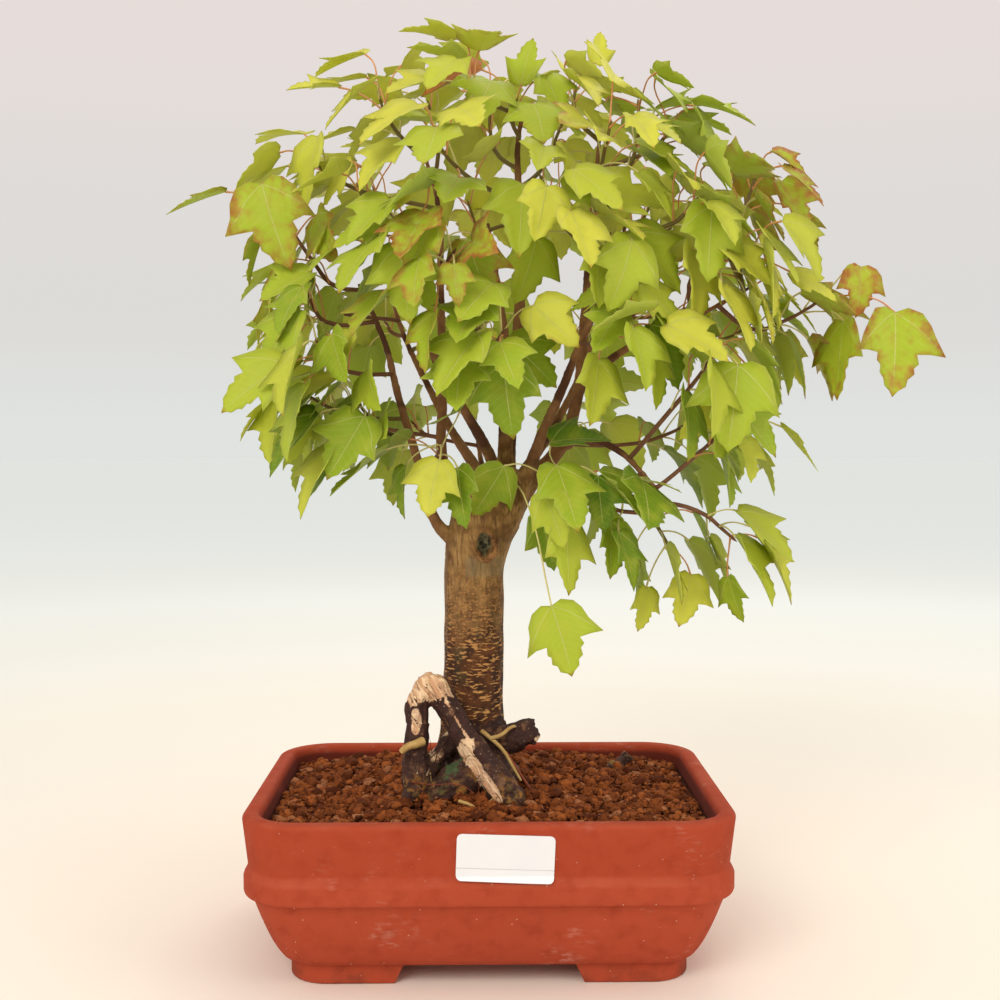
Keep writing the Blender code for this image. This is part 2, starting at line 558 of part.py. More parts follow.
# ---- shoots ----------------------------------------------------------------------------------
def leaf_points(leaf, spread=0.0):
    """Rings of a leaf: its stalk's end and the blade's outline, upper and lower.

    spread swells the leaf on every side, to test how near it comes to others.
    """
    base, heading, normal, length, arrival = leaf
    right = heading.cross(normal).normalized()
    normal = right.cross(heading)
    bend = (arrival + heading).normalized()
    lift = right.cross(bend).normalized()
    half = LEAF_THICK / 2 + spread
    wide = STALK_HALF_WIDTH + spread
    ring = [base + right * wide + lift * half, base + right * wide - lift * half,
            base - right * wide - lift * half, base - right * wide + lift * half]
    outline = []
    for share_x, share_y, rise in ((LEAF_LOBE[0], LEAF_LOBE[1], LEAF_FOLD),
                                   (LEAF_NOTCH[0], LEAF_NOTCH[1], 0.3 * LEAF_FOLD),
                                   (0.0, 1.0, -LEAF_TIP_DROP),
                                   (-LEAF_NOTCH[0], LEAF_NOTCH[1], 0.3 * LEAF_FOLD),
                                   (-LEAF_LOBE[0], LEAF_LOBE[1], LEAF_FOLD)):
        outline.append(base + length * (share_x * right + share_y * heading + rise * normal))
    upper = [point + normal * half for point in outline]
    lower = [point - normal * half for point in outline]
    return ring, upper, lower


def blade_faces(ring, upper, lower):
    """Faces of a blade, from the point numbers of its stalk's end and its outline."""
    right_top, right_low, left_low, left_top = ring
    over = [right_top, *upper, left_top]
    under = [right_low, *lower, left_low]
    faces = [(over[0], over[1], over[2]), (over[0], over[2], over[3]), (over[0], over[3], over[6]),
             (over[6], over[3], over[4]), (over[6], over[4], over[5])]
    faces += [(under[0], under[2], under[1]), (under[0], under[3], under[2]),
              (under[0], under[6], under[3]), (under[6], under[4], under[3]),
              (under[6], under[5], under[4])]
    for index in range(6):
        faces.append((over[index], under[index], under[index + 1]))
        faces.append((over[index], under[index + 1], over[index + 1]))
    return faces


def stalk_faces(root, ring):
    """Four sides of a stalk between two rings of four points, matched with the least twist."""
    faces = []
    for index in range(4):
        after = (index + 1) % 4
        faces.append((root[index], root[after], ring[after], ring[index]))
    return faces


def least_twist(root, ring):
    """How far to turn the ring's numbering so that its points lie nearest the root's."""
    root_middle = sum(root, Vector()) / 4
    ring_middle = sum(ring, Vector()) / 4

    def miss(turn):
        return sum(((root[index] - root_middle).normalized()
                    - (ring[(index + turn) % 4] - ring_middle).normalized()).length_squared
                   for index in range(4))

    return min(range(4), key=miss)


def solid_tree(points, faces):
    return BVHTree.FromPolygons(points, faces, all_triangles=False, epsilon=0.0)


def leaf_probe(leaf, node, swell, start):
    """A swollen copy of a leaf and its stalk, for finding clashes.

    The stalk begins a stated way out from its node, where it is clear of the other stalk there.
    """
    ring, upper, lower = leaf_points(leaf, swell)
    ahead = (leaf[0] - node).normalized()
    side, other = across(ahead)
    wide = TWIG_RADIUS + swell
    foot = node + ahead * start
    root = [foot + wide * (a * side + b * other) for a, b in ((1, 1), (1, -1), (-1, -1), (-1, 1))]
    turn = least_twist(root, ring)
    points = root + ring + upper + lower
    matched = [4 + (index + turn) % 4 for index in range(4)]
    faces = stalk_faces([0, 1, 2, 3], matched)
    faces.append((0, 1, 2, 3))
    faces += blade_faces([4, 5, 6, 7], list(range(8, 13)), list(range(13, 18)))
    return points, faces


class Obstacles:
    """Everything that has been placed, for finding clashes."""

    def __init__(self):
        self.rows = []

    def add(self, points, faces, owner=None):
        middle = sum(points, Vector()) / len(points)
        reach = max((point - middle).length for point in points)
        self.rows.append((middle, reach, solid_tree(points, faces), owner))

    def hit(self, points, faces, own=None):
        """Whether a solid meets anything but the twig that it grows from."""
        middle = sum(points, Vector()) / len(points)
        reach = max((point - middle).length for point in points)
        tree = None
        for other_middle, other_reach, other, owner in self.rows:
            if own is not None and owner == own:
                continue
            if (other_middle - middle).length < reach + other_reach:
                if tree is None:
                    tree = solid_tree(points, faces)
                if tree.overlap(other):
                    return True
        return False


def test_leaf(obstacles, leaf, node, own):
    """Whether a leaf is clear of everything that has been placed."""
    return not obstacles.hit(*leaf_probe(leaf, node, GAP + 0.15, 1.0), own=own)


def keep_leaf(obstacles, leaf, node, own=None):
    """Add a placed leaf to the obstacles, with the foot of its stalk for other shoots only."""
    obstacles.add(*leaf_probe(leaf, node, 0.15, 3.0))
    obstacles.add(*leaf_probe(leaf, node, 0.15, 1.0), owner=own)


def nearest_bough(tip, used):
    """The place on a bough that a shoot grows from: the point, its radius and the bough's direction."""
    best = None
    for route in BOUGHS.values():
        for index in range(2, len(route) - 1):
            low = Vector(route[index][:3])
            high = Vector(route[index + 1][:3])
            for share in (0.15, 0.4, 0.65, 0.9):
                point = low.lerp(high, share)
                radius = route[index][3] + share * (route[index + 1][3] - route[index][3])
                cost = (tip - point).length + max(0.0, point.z - tip.z + 12.0)
                if any((point - other).length < SHOOT_SPACING for other in used):
                    cost += 40.0
                if best is None or cost < best[0]:
                    best = (cost, point, radius, (high - low).normalized())
    return best[1:]


def bezier(a, b, c, d, share):
    rest = 1 - share
    return (rest ** 3 * a + 3 * rest ** 2 * share * b + 3 * rest * share ** 2 * c + share ** 3 * d)


def grow_twig(tip, wobble, used):
    """Points along a twig, from just off a bough to its end, and the place that it grows from."""
    point, radius, along = nearest_bough(tip, used)
    away = tip - point
    out = away - along * away.dot(along)
    if out.length < 0.3 * away.length:
        out += 0.3 * away.length * across(along)[0]
    out.normalize()
    start = point + out * (radius + TWIG_RADIUS * 0.2 + 2 * GAP)
    span = (tip - start).length
    first = start + out * 0.3 * span + wobble * 0.5
    second = tip - (away.normalized() * 0.6 + UP * 0.35) * 0.3 * span + wobble
    shares = (0.0, 0.3, 0.5, 0.68, 0.84, 1.0)
    return [bezier(start, first, second, tip, share) for share in shares], point


def twig_mesh_route(points, nodes):
    """Stations of a twig with a short pair of rings at each leaf node."""
    route = [(points[0], TWIG_RADIUS * 1.15)]
    for index in nodes:
        direction = (points[min(index + 1, len(points) - 1)] - points[index - 1]).normalized()
        radius = TWIG_RADIUS * (1.12 - 0.06 * index)
        route.append((points[index] - direction * 0.9, radius))
        route.append((points[index] + direction * 0.9, radius))
    return route


def rule_leaf(rng, node, along, side, top_share, trial):
    """A leaf placed by rule: stalk outwards and up, blade hanging with its upper side out."""
    outward = Vector((node.x - 12.0, node.y, 0.0))
    outward = outward.normalized() if outward.length > 8.0 else Vector((along.x, along.y, 0.01)).normalized()
    loose = 0.25 + 0.03 * trial
    stray = Vector((rng.uniform(-1, 1), rng.uniform(-1, 1), rng.uniform(-1, 1)))
    arrival = (side * 0.9 + along * 0.45 + outward * 0.4 + UP * (0.15 + 0.4 * top_share) + loose * stray)
    arrival.normalize()
    stalk = LEAF_LENGTH * rng.uniform(0.38, 0.75 + 0.004 * trial)
    base = node + arrival * stalk
    sway = Vector((rng.uniform(-1, 1), rng.uniform(-1, 1), 0.0))
    droop = rng.uniform(0.45, 1.3) * (1.0 - 0.6 * top_share)
    heading = outward * 0.55 + side * 0.45 + sway * (0.35 + 0.02 * trial) - UP * droop
    heading.normalize()
    face = outward * (1.0 - 0.55 * top_share) + UP * (0.55 + 0.5 * top_share) + 0.3 * stray
    normal = face - heading * face.dot(heading)
    normal.normalize()
    if arrival.dot(heading) < -0.55:
        heading = (heading + arrival * 0.8).normalized()
        normal = (face - heading * face.dot(heading)).normalized()
    length = LEAF_LENGTH * rng.uniform(0.74, 1.08) * (1.0 - 0.12 * top_share)
    return (base, heading, normal, length, arrival)


def chosen_leaf(row, node, length_share, nudge):
    """A leaf placed by hand."""
    base = Vector(row[0]) + nudge
    tip = Vector(row[1]) + nudge
    heading = tip - base
    length = heading.length * length_share
    heading.normalize()
    face = Vector(row[2])
    normal = (face - heading * face.dot(heading)).normalized()
    arrival = (base - node).normalized()
    return (base, heading, normal, length, arrival)


def grow_shoots():
    """Every shoot: its name, its twig's points and its leaves as (node number, side number, leaf)."""
    obstacles = Obstacles()
    for _, route, sides in wood_routes():
        obstacles.add(*tube(route, sides, 2 * GAP))
    pot_guard = loft([pot_section(0.0, -TREE_LIFT), pot_section(0.0, TABLES_RIM + 3.0)])
    obstacles.add([Vector(point) for point in pot_guard[0]], pot_guard[1])
    twigs = []
    used = []
    for number, (name, tip, _) in enumerate(SHOOTS):
        rng = random.Random(SEED + 31 * number)
        for trial in range(60):
            wobble = Vector((rng.uniform(-1, 1), rng.uniform(-1, 1), rng.uniform(-1, 1)))
            points, place = grow_twig(Vector(tip) + wobble * 0.35 * trial, wobble * (3.0 + 0.5 * trial),
                                      used)
            route = [(*point, TWIG_RADIUS * 1.15) for point in points]
            solid = tube(route, 8, GAP + 0.15)
            if not obstacles.hit(*solid):
                break
        else:
            print("no clear way for the twig", name)
        obstacles.add(*solid, owner=name)
        used.append(place)
        twigs.append(points)
    hanging = [(*station, STALK_HALF_WIDTH * 1.3) for station in HANGING_LEAF_STALK]
    obstacles.add(*tube(hanging, 8, GAP))
    lone_leaf = chosen_leaf(HANGING_LEAF, Vector(HANGING_LEAF_STALK[-2]), 1.0, Vector())
    keep_leaf(obstacles, lone_leaf, Vector(HANGING_LEAF_STALK[-2]))
    shoots = []
    for number, (name, tip, chosen) in enumerate(SHOOTS):
        shoots.append((name, twigs[number], []))
    for number, (name, tip, chosen) in enumerate(SHOOTS):
        rng = random.Random(SEED + 31 * number + 7)
        points = twigs[number]
        slots = ((5, 0), (5, 1), (4, 0), (4, 1))
        for row, (index, side_number) in zip(chosen, slots):
            for trial in range(60):
                nudge = Vector((rng.uniform(-1, 1), rng.uniform(-1, 1), rng.uniform(-1, 1))) * 0.5 * trial
                leaf = chosen_leaf(row, points[index], 1.0, nudge)
                if test_leaf(obstacles, leaf, points[index], name):
                    break
            else:
                print("no clear place for a chosen leaf", name, index, side_number)
            keep_leaf(obstacles, leaf, points[index], name)
            shoots[number][2].append((index, side_number, leaf))
    misses = []
    for number, (name, tip, chosen) in enumerate(SHOOTS):
        rng = random.Random(SEED + 31 * number + 13)
        points = twigs[number]
        taken = {(index, side_number) for index, side_number, _ in shoots[number][2]}
        nodes = (5, 4, 3, 2) if (points[-1] - points[0]).length > LONG_SHOOT else (5, 4, 3)
        for index in nodes:
            along = (points[index] - points[index - 1]).normalized()
            level, steep = across(along)
            turn = math.radians(90.0 * (index % 2) + 25.0)
            for side_number in (0, 1):
                if (index, side_number) in taken:
                    continue
                sign = 1 if side_number == 0 else -1
                side = sign * (math.cos(turn) * level + math.sin(turn) * steep)
                top_share = min(max((points[index].z - 380.0) / 90.0, 0.0), 1.0)
                for trial in range(300):
                    leaf = rule_leaf(rng, points[index], along, side, top_share, 0.3 * trial)
                    if test_leaf(obstacles, leaf, points[index], name):
                        break
                else:
                    misses.append((name, index, side_number))
                keep_leaf(obstacles, leaf, points[index], name)
                shoots[number][2].append((index, side_number, leaf))
    print("shoots", len(shoots), "leaves", sum(len(row[2]) for row in shoots), "misses", misses)
    return shoots, lone_leaf


def shoot_solid(points, leaves):
    """One closed solid of a twig, its leaf stalks and its leaves."""
    nodes = sorted({index for index, _, _ in leaves})
    route = twig_mesh_route(points, nodes)
    centres = [station[0] for station in route]
    solid_points = []
    rings = []
    side = None
    for number, (centre, radius) in enumerate(route):
        before = centres[max(number - 1, 0)]
        after = centres[min(number + 1, len(centres) - 1)]
        direction = (after - before).normalized()
        if side is None:
            side = across(direction)[0]
        side = (side - direction * side.dot(direction)).normalized()
        other = direction.cross(side)
        start = len(solid_points)
        for step in range(4):
            turn = math.radians(45.0 + 90.0 * step)
            solid_points.append(centre + radius * (math.cos(turn) * side + math.sin(turn) * other))
        rings.append(list(range(start, start + 4)))
    faces = [tuple(reversed(rings[0])), tuple(rings[-1])]
    for number in range(len(rings) - 1):
        low, high = rings[number], rings[number + 1]
        quads = [(low[step], low[(step + 1) % 4], high[(step + 1) % 4], high[step]) for step in range(4)]
        here = []
        if number % 2 == 1:
            node_index = nodes[(number - 1) // 2]
            here = [leaf for index, _, leaf in leaves if index == node_index]
        free = list(range(4))
        for leaf in here:
            node = (sum((solid_points[corner] for corner in low + high), Vector())) / 8

            def facing(step):
                middle = sum((solid_points[corner] for corner in quads[step]), Vector()) / 4
                return (middle - node).normalized().dot((leaf[0] - node).normalized())

            step = max(free, key=facing)
            free.remove(step)
            ring, upper, lower = leaf_points(leaf)
            root = quads[step]
            turn = least_twist([solid_points[corner] for corner in root], ring)
            start = len(solid_points)
            solid_points.extend(ring + upper + lower)
            matched = [start + (index + turn) % 4 for index in range(4)]
            faces += stalk_faces(root, matched)
            faces += blade_faces(list(range(start, start + 4)), list(range(start + 4, start + 9)),
                                 list(range(start + 9, start + 14)))
        faces += [quads[step] for step in free]
    return solid_points, faces


def build_hanging_leaf(leaf, green):
    """The lone leaf and its long stalk."""
    route = [(*station, STALK_HALF_WIDTH * 1.2) for station in HANGING_LEAF_STALK[:-1]]
    points, faces = tube(route, 4)
    points = [Vector(point) for point in points]
    root = faces.pop()
    ring, upper, lower = leaf_points(leaf)
    turn = least_twist([points[corner] for corner in root], ring)
    start = len(points)
    points.extend(ring + upper + lower)
    matched = [start + (index + turn) % 4 for index in range(4)]
    faces += stalk_faces(root, matched)
    faces += blade_faces(list(range(start, start + 4)), list(range(start + 4, start + 9)),
                         list(range(start + 9, start + 14)))
    return new_object("shoot_hanging_leaf", points, faces, green, smooth=False)


# ---- the whole object --------------------------------------------------------------------------
def main():
    for old in list(bpy.data.objects):
        bpy.data.objects.remove(old)
    clay = material("clay", (0.50, 0.085, 0.035), 0.75)
    earth = material("earth", (0.20, 0.055, 0.02), 0.95)
    bark = material("bark", (0.16, 0.085, 0.045), 0.9)
    leaf_green = material("leaf_green", (0.24, 0.42, 0.06), 0.55)
    leaf_yellow = material("leaf_yellow", (0.48, 0.55, 0.08), 0.55)
    paper = material("paper", (0.85, 0.85, 0.83), 0.5)
    plastic = material("plastic_mesh", (0.03, 0.03, 0.03), 0.6)
    metal = material("wire", (0.55, 0.5, 0.45), 0.35, 0.9)
    pieces = [build_pot(clay), build_soil(earth), build_wood(bark), build_label(paper)]
    for name, side in (("left", -1), ("right", 1)):
        middle = side * DRAIN_SPACING / 2
        pieces.append(build_drain_mesh("drain_mesh_" + name, middle, plastic))
        pieces.append(build_mesh_clip("mesh_clip_" + name, middle, metal))
    shoots, lone_leaf = grow_shoots()
    crown = [build_hanging_leaf(lone_leaf, leaf_green)]
    for name, points, leaves in shoots:
        green = leaf_yellow if points[-1].z > 400.0 else leaf_green
        solid_points, faces = shoot_solid(points, leaves)
        crown.append(new_object("shoot_" + name, solid_points, faces, green, smooth=False))
    for shoot in crown:
        shoot.location.z = TREE_LIFT * MM
    corners = [vertex.co for piece in pieces + crown for vertex in piece.data.vertices]
    carrier = bpy.data.objects.new("bonsai", None)
    bpy.context.scene.collection.objects.link(carrier)
    carrier.location = (-0.5 * (min(co.x for co in corners) + max(co.x for co in corners)),
                        -0.5 * (min(co.y for co in corners) + max(co.y for co in corners)), 0.0)
    for made in list(bpy.data.objects):
        if made != carrier:
            made.parent = carrier


main()
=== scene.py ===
# %% [markdown]
# # A maple bonsai in a clay pot
# This lesson dresses a plain model of a small potted maple: clay, soil, bark, roots and leaves.
# The plain model is loaded first and never changes. It says where everything is, so each new piece is
# worked out from it, and a piece that is finer than its plain solid takes that solid's place.
#
# Sizes in the tables are in millimetres about the middle of the pot, because that is how a potter or
# a gardener would measure it, and `at` turns them into the model's own metres.

# %% Load the plain model
import math
import random

import bmesh
import bpy
import numpy as np
from mathutils import Matrix, Vector, noise
from mathutils.kdtree import KDTree


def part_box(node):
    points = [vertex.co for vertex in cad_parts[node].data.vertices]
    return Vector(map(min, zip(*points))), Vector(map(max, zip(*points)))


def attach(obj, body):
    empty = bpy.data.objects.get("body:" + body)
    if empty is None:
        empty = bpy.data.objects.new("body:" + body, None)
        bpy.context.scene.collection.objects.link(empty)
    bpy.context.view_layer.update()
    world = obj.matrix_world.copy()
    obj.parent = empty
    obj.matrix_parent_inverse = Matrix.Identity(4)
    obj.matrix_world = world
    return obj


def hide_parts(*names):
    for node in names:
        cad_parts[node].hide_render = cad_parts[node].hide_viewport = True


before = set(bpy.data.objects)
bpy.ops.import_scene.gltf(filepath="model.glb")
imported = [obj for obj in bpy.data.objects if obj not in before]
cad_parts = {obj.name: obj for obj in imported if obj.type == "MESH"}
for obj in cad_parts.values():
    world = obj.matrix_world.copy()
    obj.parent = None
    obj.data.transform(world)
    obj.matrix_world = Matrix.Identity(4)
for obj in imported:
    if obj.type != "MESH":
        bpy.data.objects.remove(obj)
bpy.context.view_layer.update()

MM = 0.001
UP = Vector((0.0, 0.0, 1.0))
pot_low, pot_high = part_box("pot")
pot_middle = Vector(((pot_low.x + pot_high.x) / 2, (pot_low.y + pot_high.y) / 2, 0.0))
POT_LENGTH = (pot_high.x - pot_low.x) / MM
POT_DEPTH = (pot_high.y - pot_low.y) / MM
POT_HEIGHT = pot_high.z / MM
print("pot", round(POT_LENGTH), "x", round(POT_DEPTH), "x", round(POT_HEIGHT), "mm")


def at(x, y, z):
    """A place given in millimetres about the pot's middle, in the model's metres."""
    return Vector((x * MM, y * MM, z * MM)) + pot_middle


# %% [markdown]
# ## The camera
# A camera a little above the rim, about 70 cm away, sees the pot's mouth as a thin oval and looks into
# the crown from slightly below its top. A lens of 47 mm keeps the pot's sides from spreading.

# %% Camera
camera_data = bpy.data.cameras.new("camera")
camera_data.lens = 47.2
camera_data.sensor_width = 36.0
camera_data.clip_end = 100.0
camera = bpy.data.objects.new("camera", camera_data)
camera.location = at(-5.2, -720.0, 271.5)
camera.rotation_euler = (math.radians(90.0 - 2.39), 0.0, math.radians(-0.91))
bpy.context.scene.collection.objects.link(camera)
bpy.context.scene.camera = camera
bpy.context.scene.view_settings.view_transform = "Standard"

# %% [markdown]
# ## Node finishes
# Every finish below is a Principled shader fed by a few patterns. The patterns read the piece's own
# coordinates in metres, so the grain has a real size and stays put when the view changes. The class
# only saves typing: each method adds one node and gives back its output.


# %% A helper for finishes
def paint(red, green, blue):
    """A colour given as screen values from 0 to 255, as the linear colour that a shader needs."""
    linear = []
    for value in (red, green, blue):
        share = value / 255
        linear.append(share / 12.92 if share <= 0.04045 else ((share + 0.055) / 1.055) ** 2.4)
    return (*linear, 1.0)


class Finish:
    """A material that is built up one node at a time."""

    def __init__(self, name, roughness, specular=0.5):
        self.made = bpy.data.materials.new(name)
        self.made.use_nodes = True
        self.tree = self.made.node_tree
        self.shader = self.tree.nodes["Principled BSDF"]
        self.put("Roughness", roughness)
        self.put("Specular IOR Level", specular)
        self.place = self.add("ShaderNodeTexCoord").outputs["Object"]

    def join(self, value, socket):
        if isinstance(value, bpy.types.NodeSocket):
            self.tree.links.new(value, socket)
        elif value is not None:
            socket.default_value = value

    def put(self, socket, value):
        self.join(value, self.shader.inputs[socket])

    def add(self, kind, settings=(), inputs=()):
        node = self.tree.nodes.new(kind)
        for key, value in dict(settings).items():
            setattr(node, key, value)
        for socket, value in dict(inputs).items():
            self.join(value, node.inputs[socket])
        return node

    def noise(self, size, detail=3.0, place=None):
        """A cloudy pattern from 0 to 1, with blotches about as wide as size."""
        return self.add("ShaderNodeTexNoise", inputs={
            "Vector": place or self.place, "Scale": 1 / size, "Detail": detail}).outputs["Fac"]

    def blotches(self, size, detail, low, high, place=None):
        """The cloudy pattern with more contrast: 0 below one level, 1 above another."""
        return self.step(self.noise(size, detail, place), low, high)

    def cells(self, size, place=None):
        """A pattern of cells about as wide as size: the distance to each cell's middle."""
        return self.add("ShaderNodeTexVoronoi", inputs={
            "Vector": place or self.place, "Scale": 1 / size}).outputs["Distance"]

    def stretched(self, x, y, z):
        """The piece's coordinates, stretched, so that a pattern comes out narrower along an axis."""
        return self.add("ShaderNodeMapping", inputs={
            "Vector": self.place, "Scale": (x, y, z)}).outputs["Vector"]

    def grained(self, direction, stretch):
        """The piece's coordinates, turned so that a pattern is drawn out along a direction."""
        turn = direction.to_track_quat("Z", "Y").to_euler()
        return self.add("ShaderNodeMapping", {"vector_type": "TEXTURE"}, {
            "Vector": self.place, "Rotation": tuple(turn), "Scale": (1.0, 1.0, stretch)}).outputs["Vector"]

    def axis(self, name, place=None):
        return self.add("ShaderNodeSeparateXYZ", inputs={0: place or self.place}).outputs[name]

    def step(self, value, low, high):
        """0 below low and 1 above high, smooth between. It runs the other way if low is the larger."""
        swap = low > high
        return self.add("ShaderNodeMapRange", {"interpolation_type": "SMOOTHSTEP"}, {
            "Value": value, "From Min": high if swap else low, "From Max": low if swap else high,
            "To Min": 1.0 if swap else 0.0, "To Max": 0.0 if swap else 1.0}).outputs["Result"]

    def calc(self, operation, first, second=0.0, third=None):
        return self.add("ShaderNodeMath", {"operation": operation},
                        {0: first, 1: second, 2: third}).outputs[0]

    def times(self, first, *others):
        """Several patterns or numbers, multiplied together."""
        for other in others:
            first = self.calc("MULTIPLY", first, other)
        return first

    def mix(self, share, under, over):
        """One colour laid over another: the share says how much of it covers."""
        return self.add("ShaderNodeMix", {"data_type": "RGBA"}, {0: share, 6: under, 7: over}).outputs[2]

    def attribute(self, name):
        """A painted attribute's four values: red, green, blue and alpha."""
        node = self.add("ShaderNodeAttribute", {"attribute_name": name})
        parts = self.add("ShaderNodeSeparateColor", inputs={0: node.outputs["Color"]})
        return parts.outputs[0], parts.outputs[1], parts.outputs[2], node.outputs["Alpha"]

    def bump(self, height, depth, strength=1.0, under=None):
        node = self.add("ShaderNodeBump", inputs={"Height": height, "Distance": depth,
                                                  "Strength": strength, "Normal": under})
        return node.outputs["Normal"]


print("finish tools", [name for name in dir(Finish) if not name.startswith("_")])

# %% [markdown]
# ## The stage
# A wide pale floor runs back to a pale sky, warm near the pot and cooler in the distance. Three large
# soft lamps stand round the tree: one high in front, one to the right and one behind, whose light
# comes through the leaves.

# %% Floor
FLOOR_RADIUS = 30.0
FLOOR_BELOW = 0.2 * MM      # just under the feet, so that the two faces don't flicker

floor_shape = bmesh.new()
bmesh.ops.create_circle(floor_shape, cap_ends=True, segments=96, radius=FLOOR_RADIUS)
floor_mesh = bpy.data.meshes.new("floor")
floor_shape.to_mesh(floor_mesh)
floor_shape.free()
floor = bpy.data.objects.new("floor", floor_mesh)
floor.location.z = -FLOOR_BELOW
bpy.context.scene.collection.objects.link(floor)
floor_paint = Finish("floor_paint", 0.9, 0.1)
away = floor_paint.add("ShaderNodeVectorMath", {"operation": "LENGTH"}, {0: floor_paint.place})
distance = away.outputs["Value"]
floor_tone = paint(243, 234, 219)
for near, far, colour in ((0.2, 0.6, (238, 236, 223)), (0.6, 1.1, (238, 242, 233)),
                          (1.1, 1.7, (243, 252, 247)), (1.6, 3.0, (249, 255, 255))):
    floor_tone = floor_paint.mix(floor_paint.step(distance, near, far), floor_tone, paint(*colour))
floor_paint.put("Base Color", floor_tone)
floor_paint.put("Emission Color", paint(0, 66, 54))
floor_paint.put("Emission Strength", floor_paint.step(distance, 1.6, 3.4))
floor_mesh.materials.append(floor_paint.made)
print("floor", 2 * FLOOR_RADIUS, "m across")

# %% Sky
SKY_TONES = ((0.0, (224, 227, 224)), (0.1, (221, 219, 216)), (0.34, (231, 221, 218)))

world = bpy.data.worlds.new("sky")
world.use_nodes = True
bpy.context.scene.world = world
sky_nodes, sky_links = world.node_tree.nodes, world.node_tree.links
sky_place = sky_nodes.new("ShaderNodeTexCoord")
sky_parts = sky_nodes.new("ShaderNodeSeparateXYZ")
sky_links.new(sky_place.outputs["Generated"], sky_parts.inputs[0])
sky_ramp = sky_nodes.new("ShaderNodeValToRGB")
sky_ramp.color_ramp.interpolation = "EASE"
stops = sky_ramp.color_ramp.elements
stops.remove(stops[1])
for number, (share, colour) in enumerate(SKY_TONES):
    stop = stops.new(share) if number else stops[0]
    stop.position = share
    stop.color = paint(*colour)
sky_links.new(sky_parts.outputs["Z"], sky_ramp.inputs["Fac"])
sky_shader = sky_nodes["Background"]
sky_links.new(sky_ramp.outputs["Color"], sky_shader.inputs["Color"])
sky_shader.inputs["Strength"].default_value = 1.0
print("sky tones", len(stops))

# %% Lamps
LAMPS_AIM = Vector((0.0, 0.0, 0.22))


def soft_lamp(name, place, size, power, colour):
    """A square lamp that faces the middle of the tree."""
    data = bpy.data.lights.new(name, "AREA")
    data.size = size
    data.energy = power
    data.color = colour
    made = bpy.data.objects.new(name, data)
    made.location = place
    made.rotation_euler = (LAMPS_AIM - made.location).to_track_quat("-Z", "Y").to_euler()
    bpy.context.scene.collection.objects.link(made)
    print(name, power, "W")


soft_lamp("lamp_front", Vector((-0.7, -1.4, 1.2)), 0.9, 14.5, (1.0, 0.98, 0.94))
soft_lamp("lamp_right", Vector((1.35, -0.7, 0.9)), 1.0, 6.0, (1.0, 0.98, 0.95))
soft_lamp("lamp_behind", Vector((0.3, 1.1, 1.7)), 1.0, 9.0, (1.0, 0.98, 0.94))


# %% [markdown]
# ## Turning outlines and routes into meshes
# Two shapes come up again and again. A pot, its hollow and the soil are stacks of outlines, so a helper
# draws each outline as a loop of edges, joins neighbouring loops with `bridge_loops` and fills the ends.
# Trunk, boughs, roots, twigs and leaf stalks are tubes along a route, and a curve with a round bevel
# makes those: its automatic handles turn a few chosen points into one smooth line.

# %% Show a mesh, or apply what is still live on it
def show(name, mesh, *finishes):
    """A visible object with its finishes."""
    mesh.name = name
    for number, finish in enumerate(finishes):
        if number < len(mesh.materials):
            mesh.materials[number] = finish.made
        else:
            mesh.materials.append(finish.made)
    while len(mesh.materials) > max(len(finishes), 1):
        mesh.materials.pop()
    made = bpy.data.objects.new(name, mesh)
    bpy.context.scene.collection.objects.link(made)
    return made


def settled(made):
    """The mesh of an object with its modifiers or its bevel applied. The object itself is removed."""
    bpy.context.view_layer.update()
    graph = bpy.context.evaluated_depsgraph_get()
    mesh = bpy.data.meshes.new_from_object(made.evaluated_get(graph))
    bpy.data.objects.remove(made)
    return mesh


# %% Outlines and stacks of them
def rounded_outline(length, depth, corner, z, steps=12):
    """Points of a rectangle with round corners."""
    points = []
    for quarter, (side_x, side_y) in enumerate(((1, 1), (-1, 1), (-1, -1), (1, -1))):
        for step in range(steps + 1):
            angle = math.radians(90.0) * (quarter + step / steps)
            points.append(at(side_x * (length / 2 - corner) + corner * math.cos(angle),
                             side_y * (depth / 2 - corner) + corner * math.sin(angle), z))
    return points


def box_outline(half_length, half_depth, z):
    return [at(x * half_length, y * half_depth, z) for x, y in ((-1, -1), (1, -1), (1, 1), (-1, 1))]


def round_outline(x, radius, z, steps=32):
    return [at(x + radius * math.cos(turn), radius * math.sin(turn), z)
            for turn in np.linspace(0, 2 * math.pi, steps + 1)[:-1]]


def stack(outlines):
    """A closed mesh through a stack of outlines that have equally many points."""
    shape = bmesh.new()
    loops = []
    for outline in outlines:
        ring = [shape.verts.new(point) for point in outline]
        loops.append([shape.edges.new((ring[index - 1], ring[index])) for index in range(len(ring))])
    for low, high in zip(loops, loops[1:]):
        bmesh.ops.bridge_loops(shape, edges=low + high)
    for end in (loops[0], loops[-1]):
        bmesh.ops.edgeloop_fill(shape, edges=end)
    bmesh.ops.recalc_face_normals(shape, faces=shape.faces[:])
    mesh = bpy.data.meshes.new("stack")
    shape.to_mesh(mesh)
    shape.free()
    return mesh


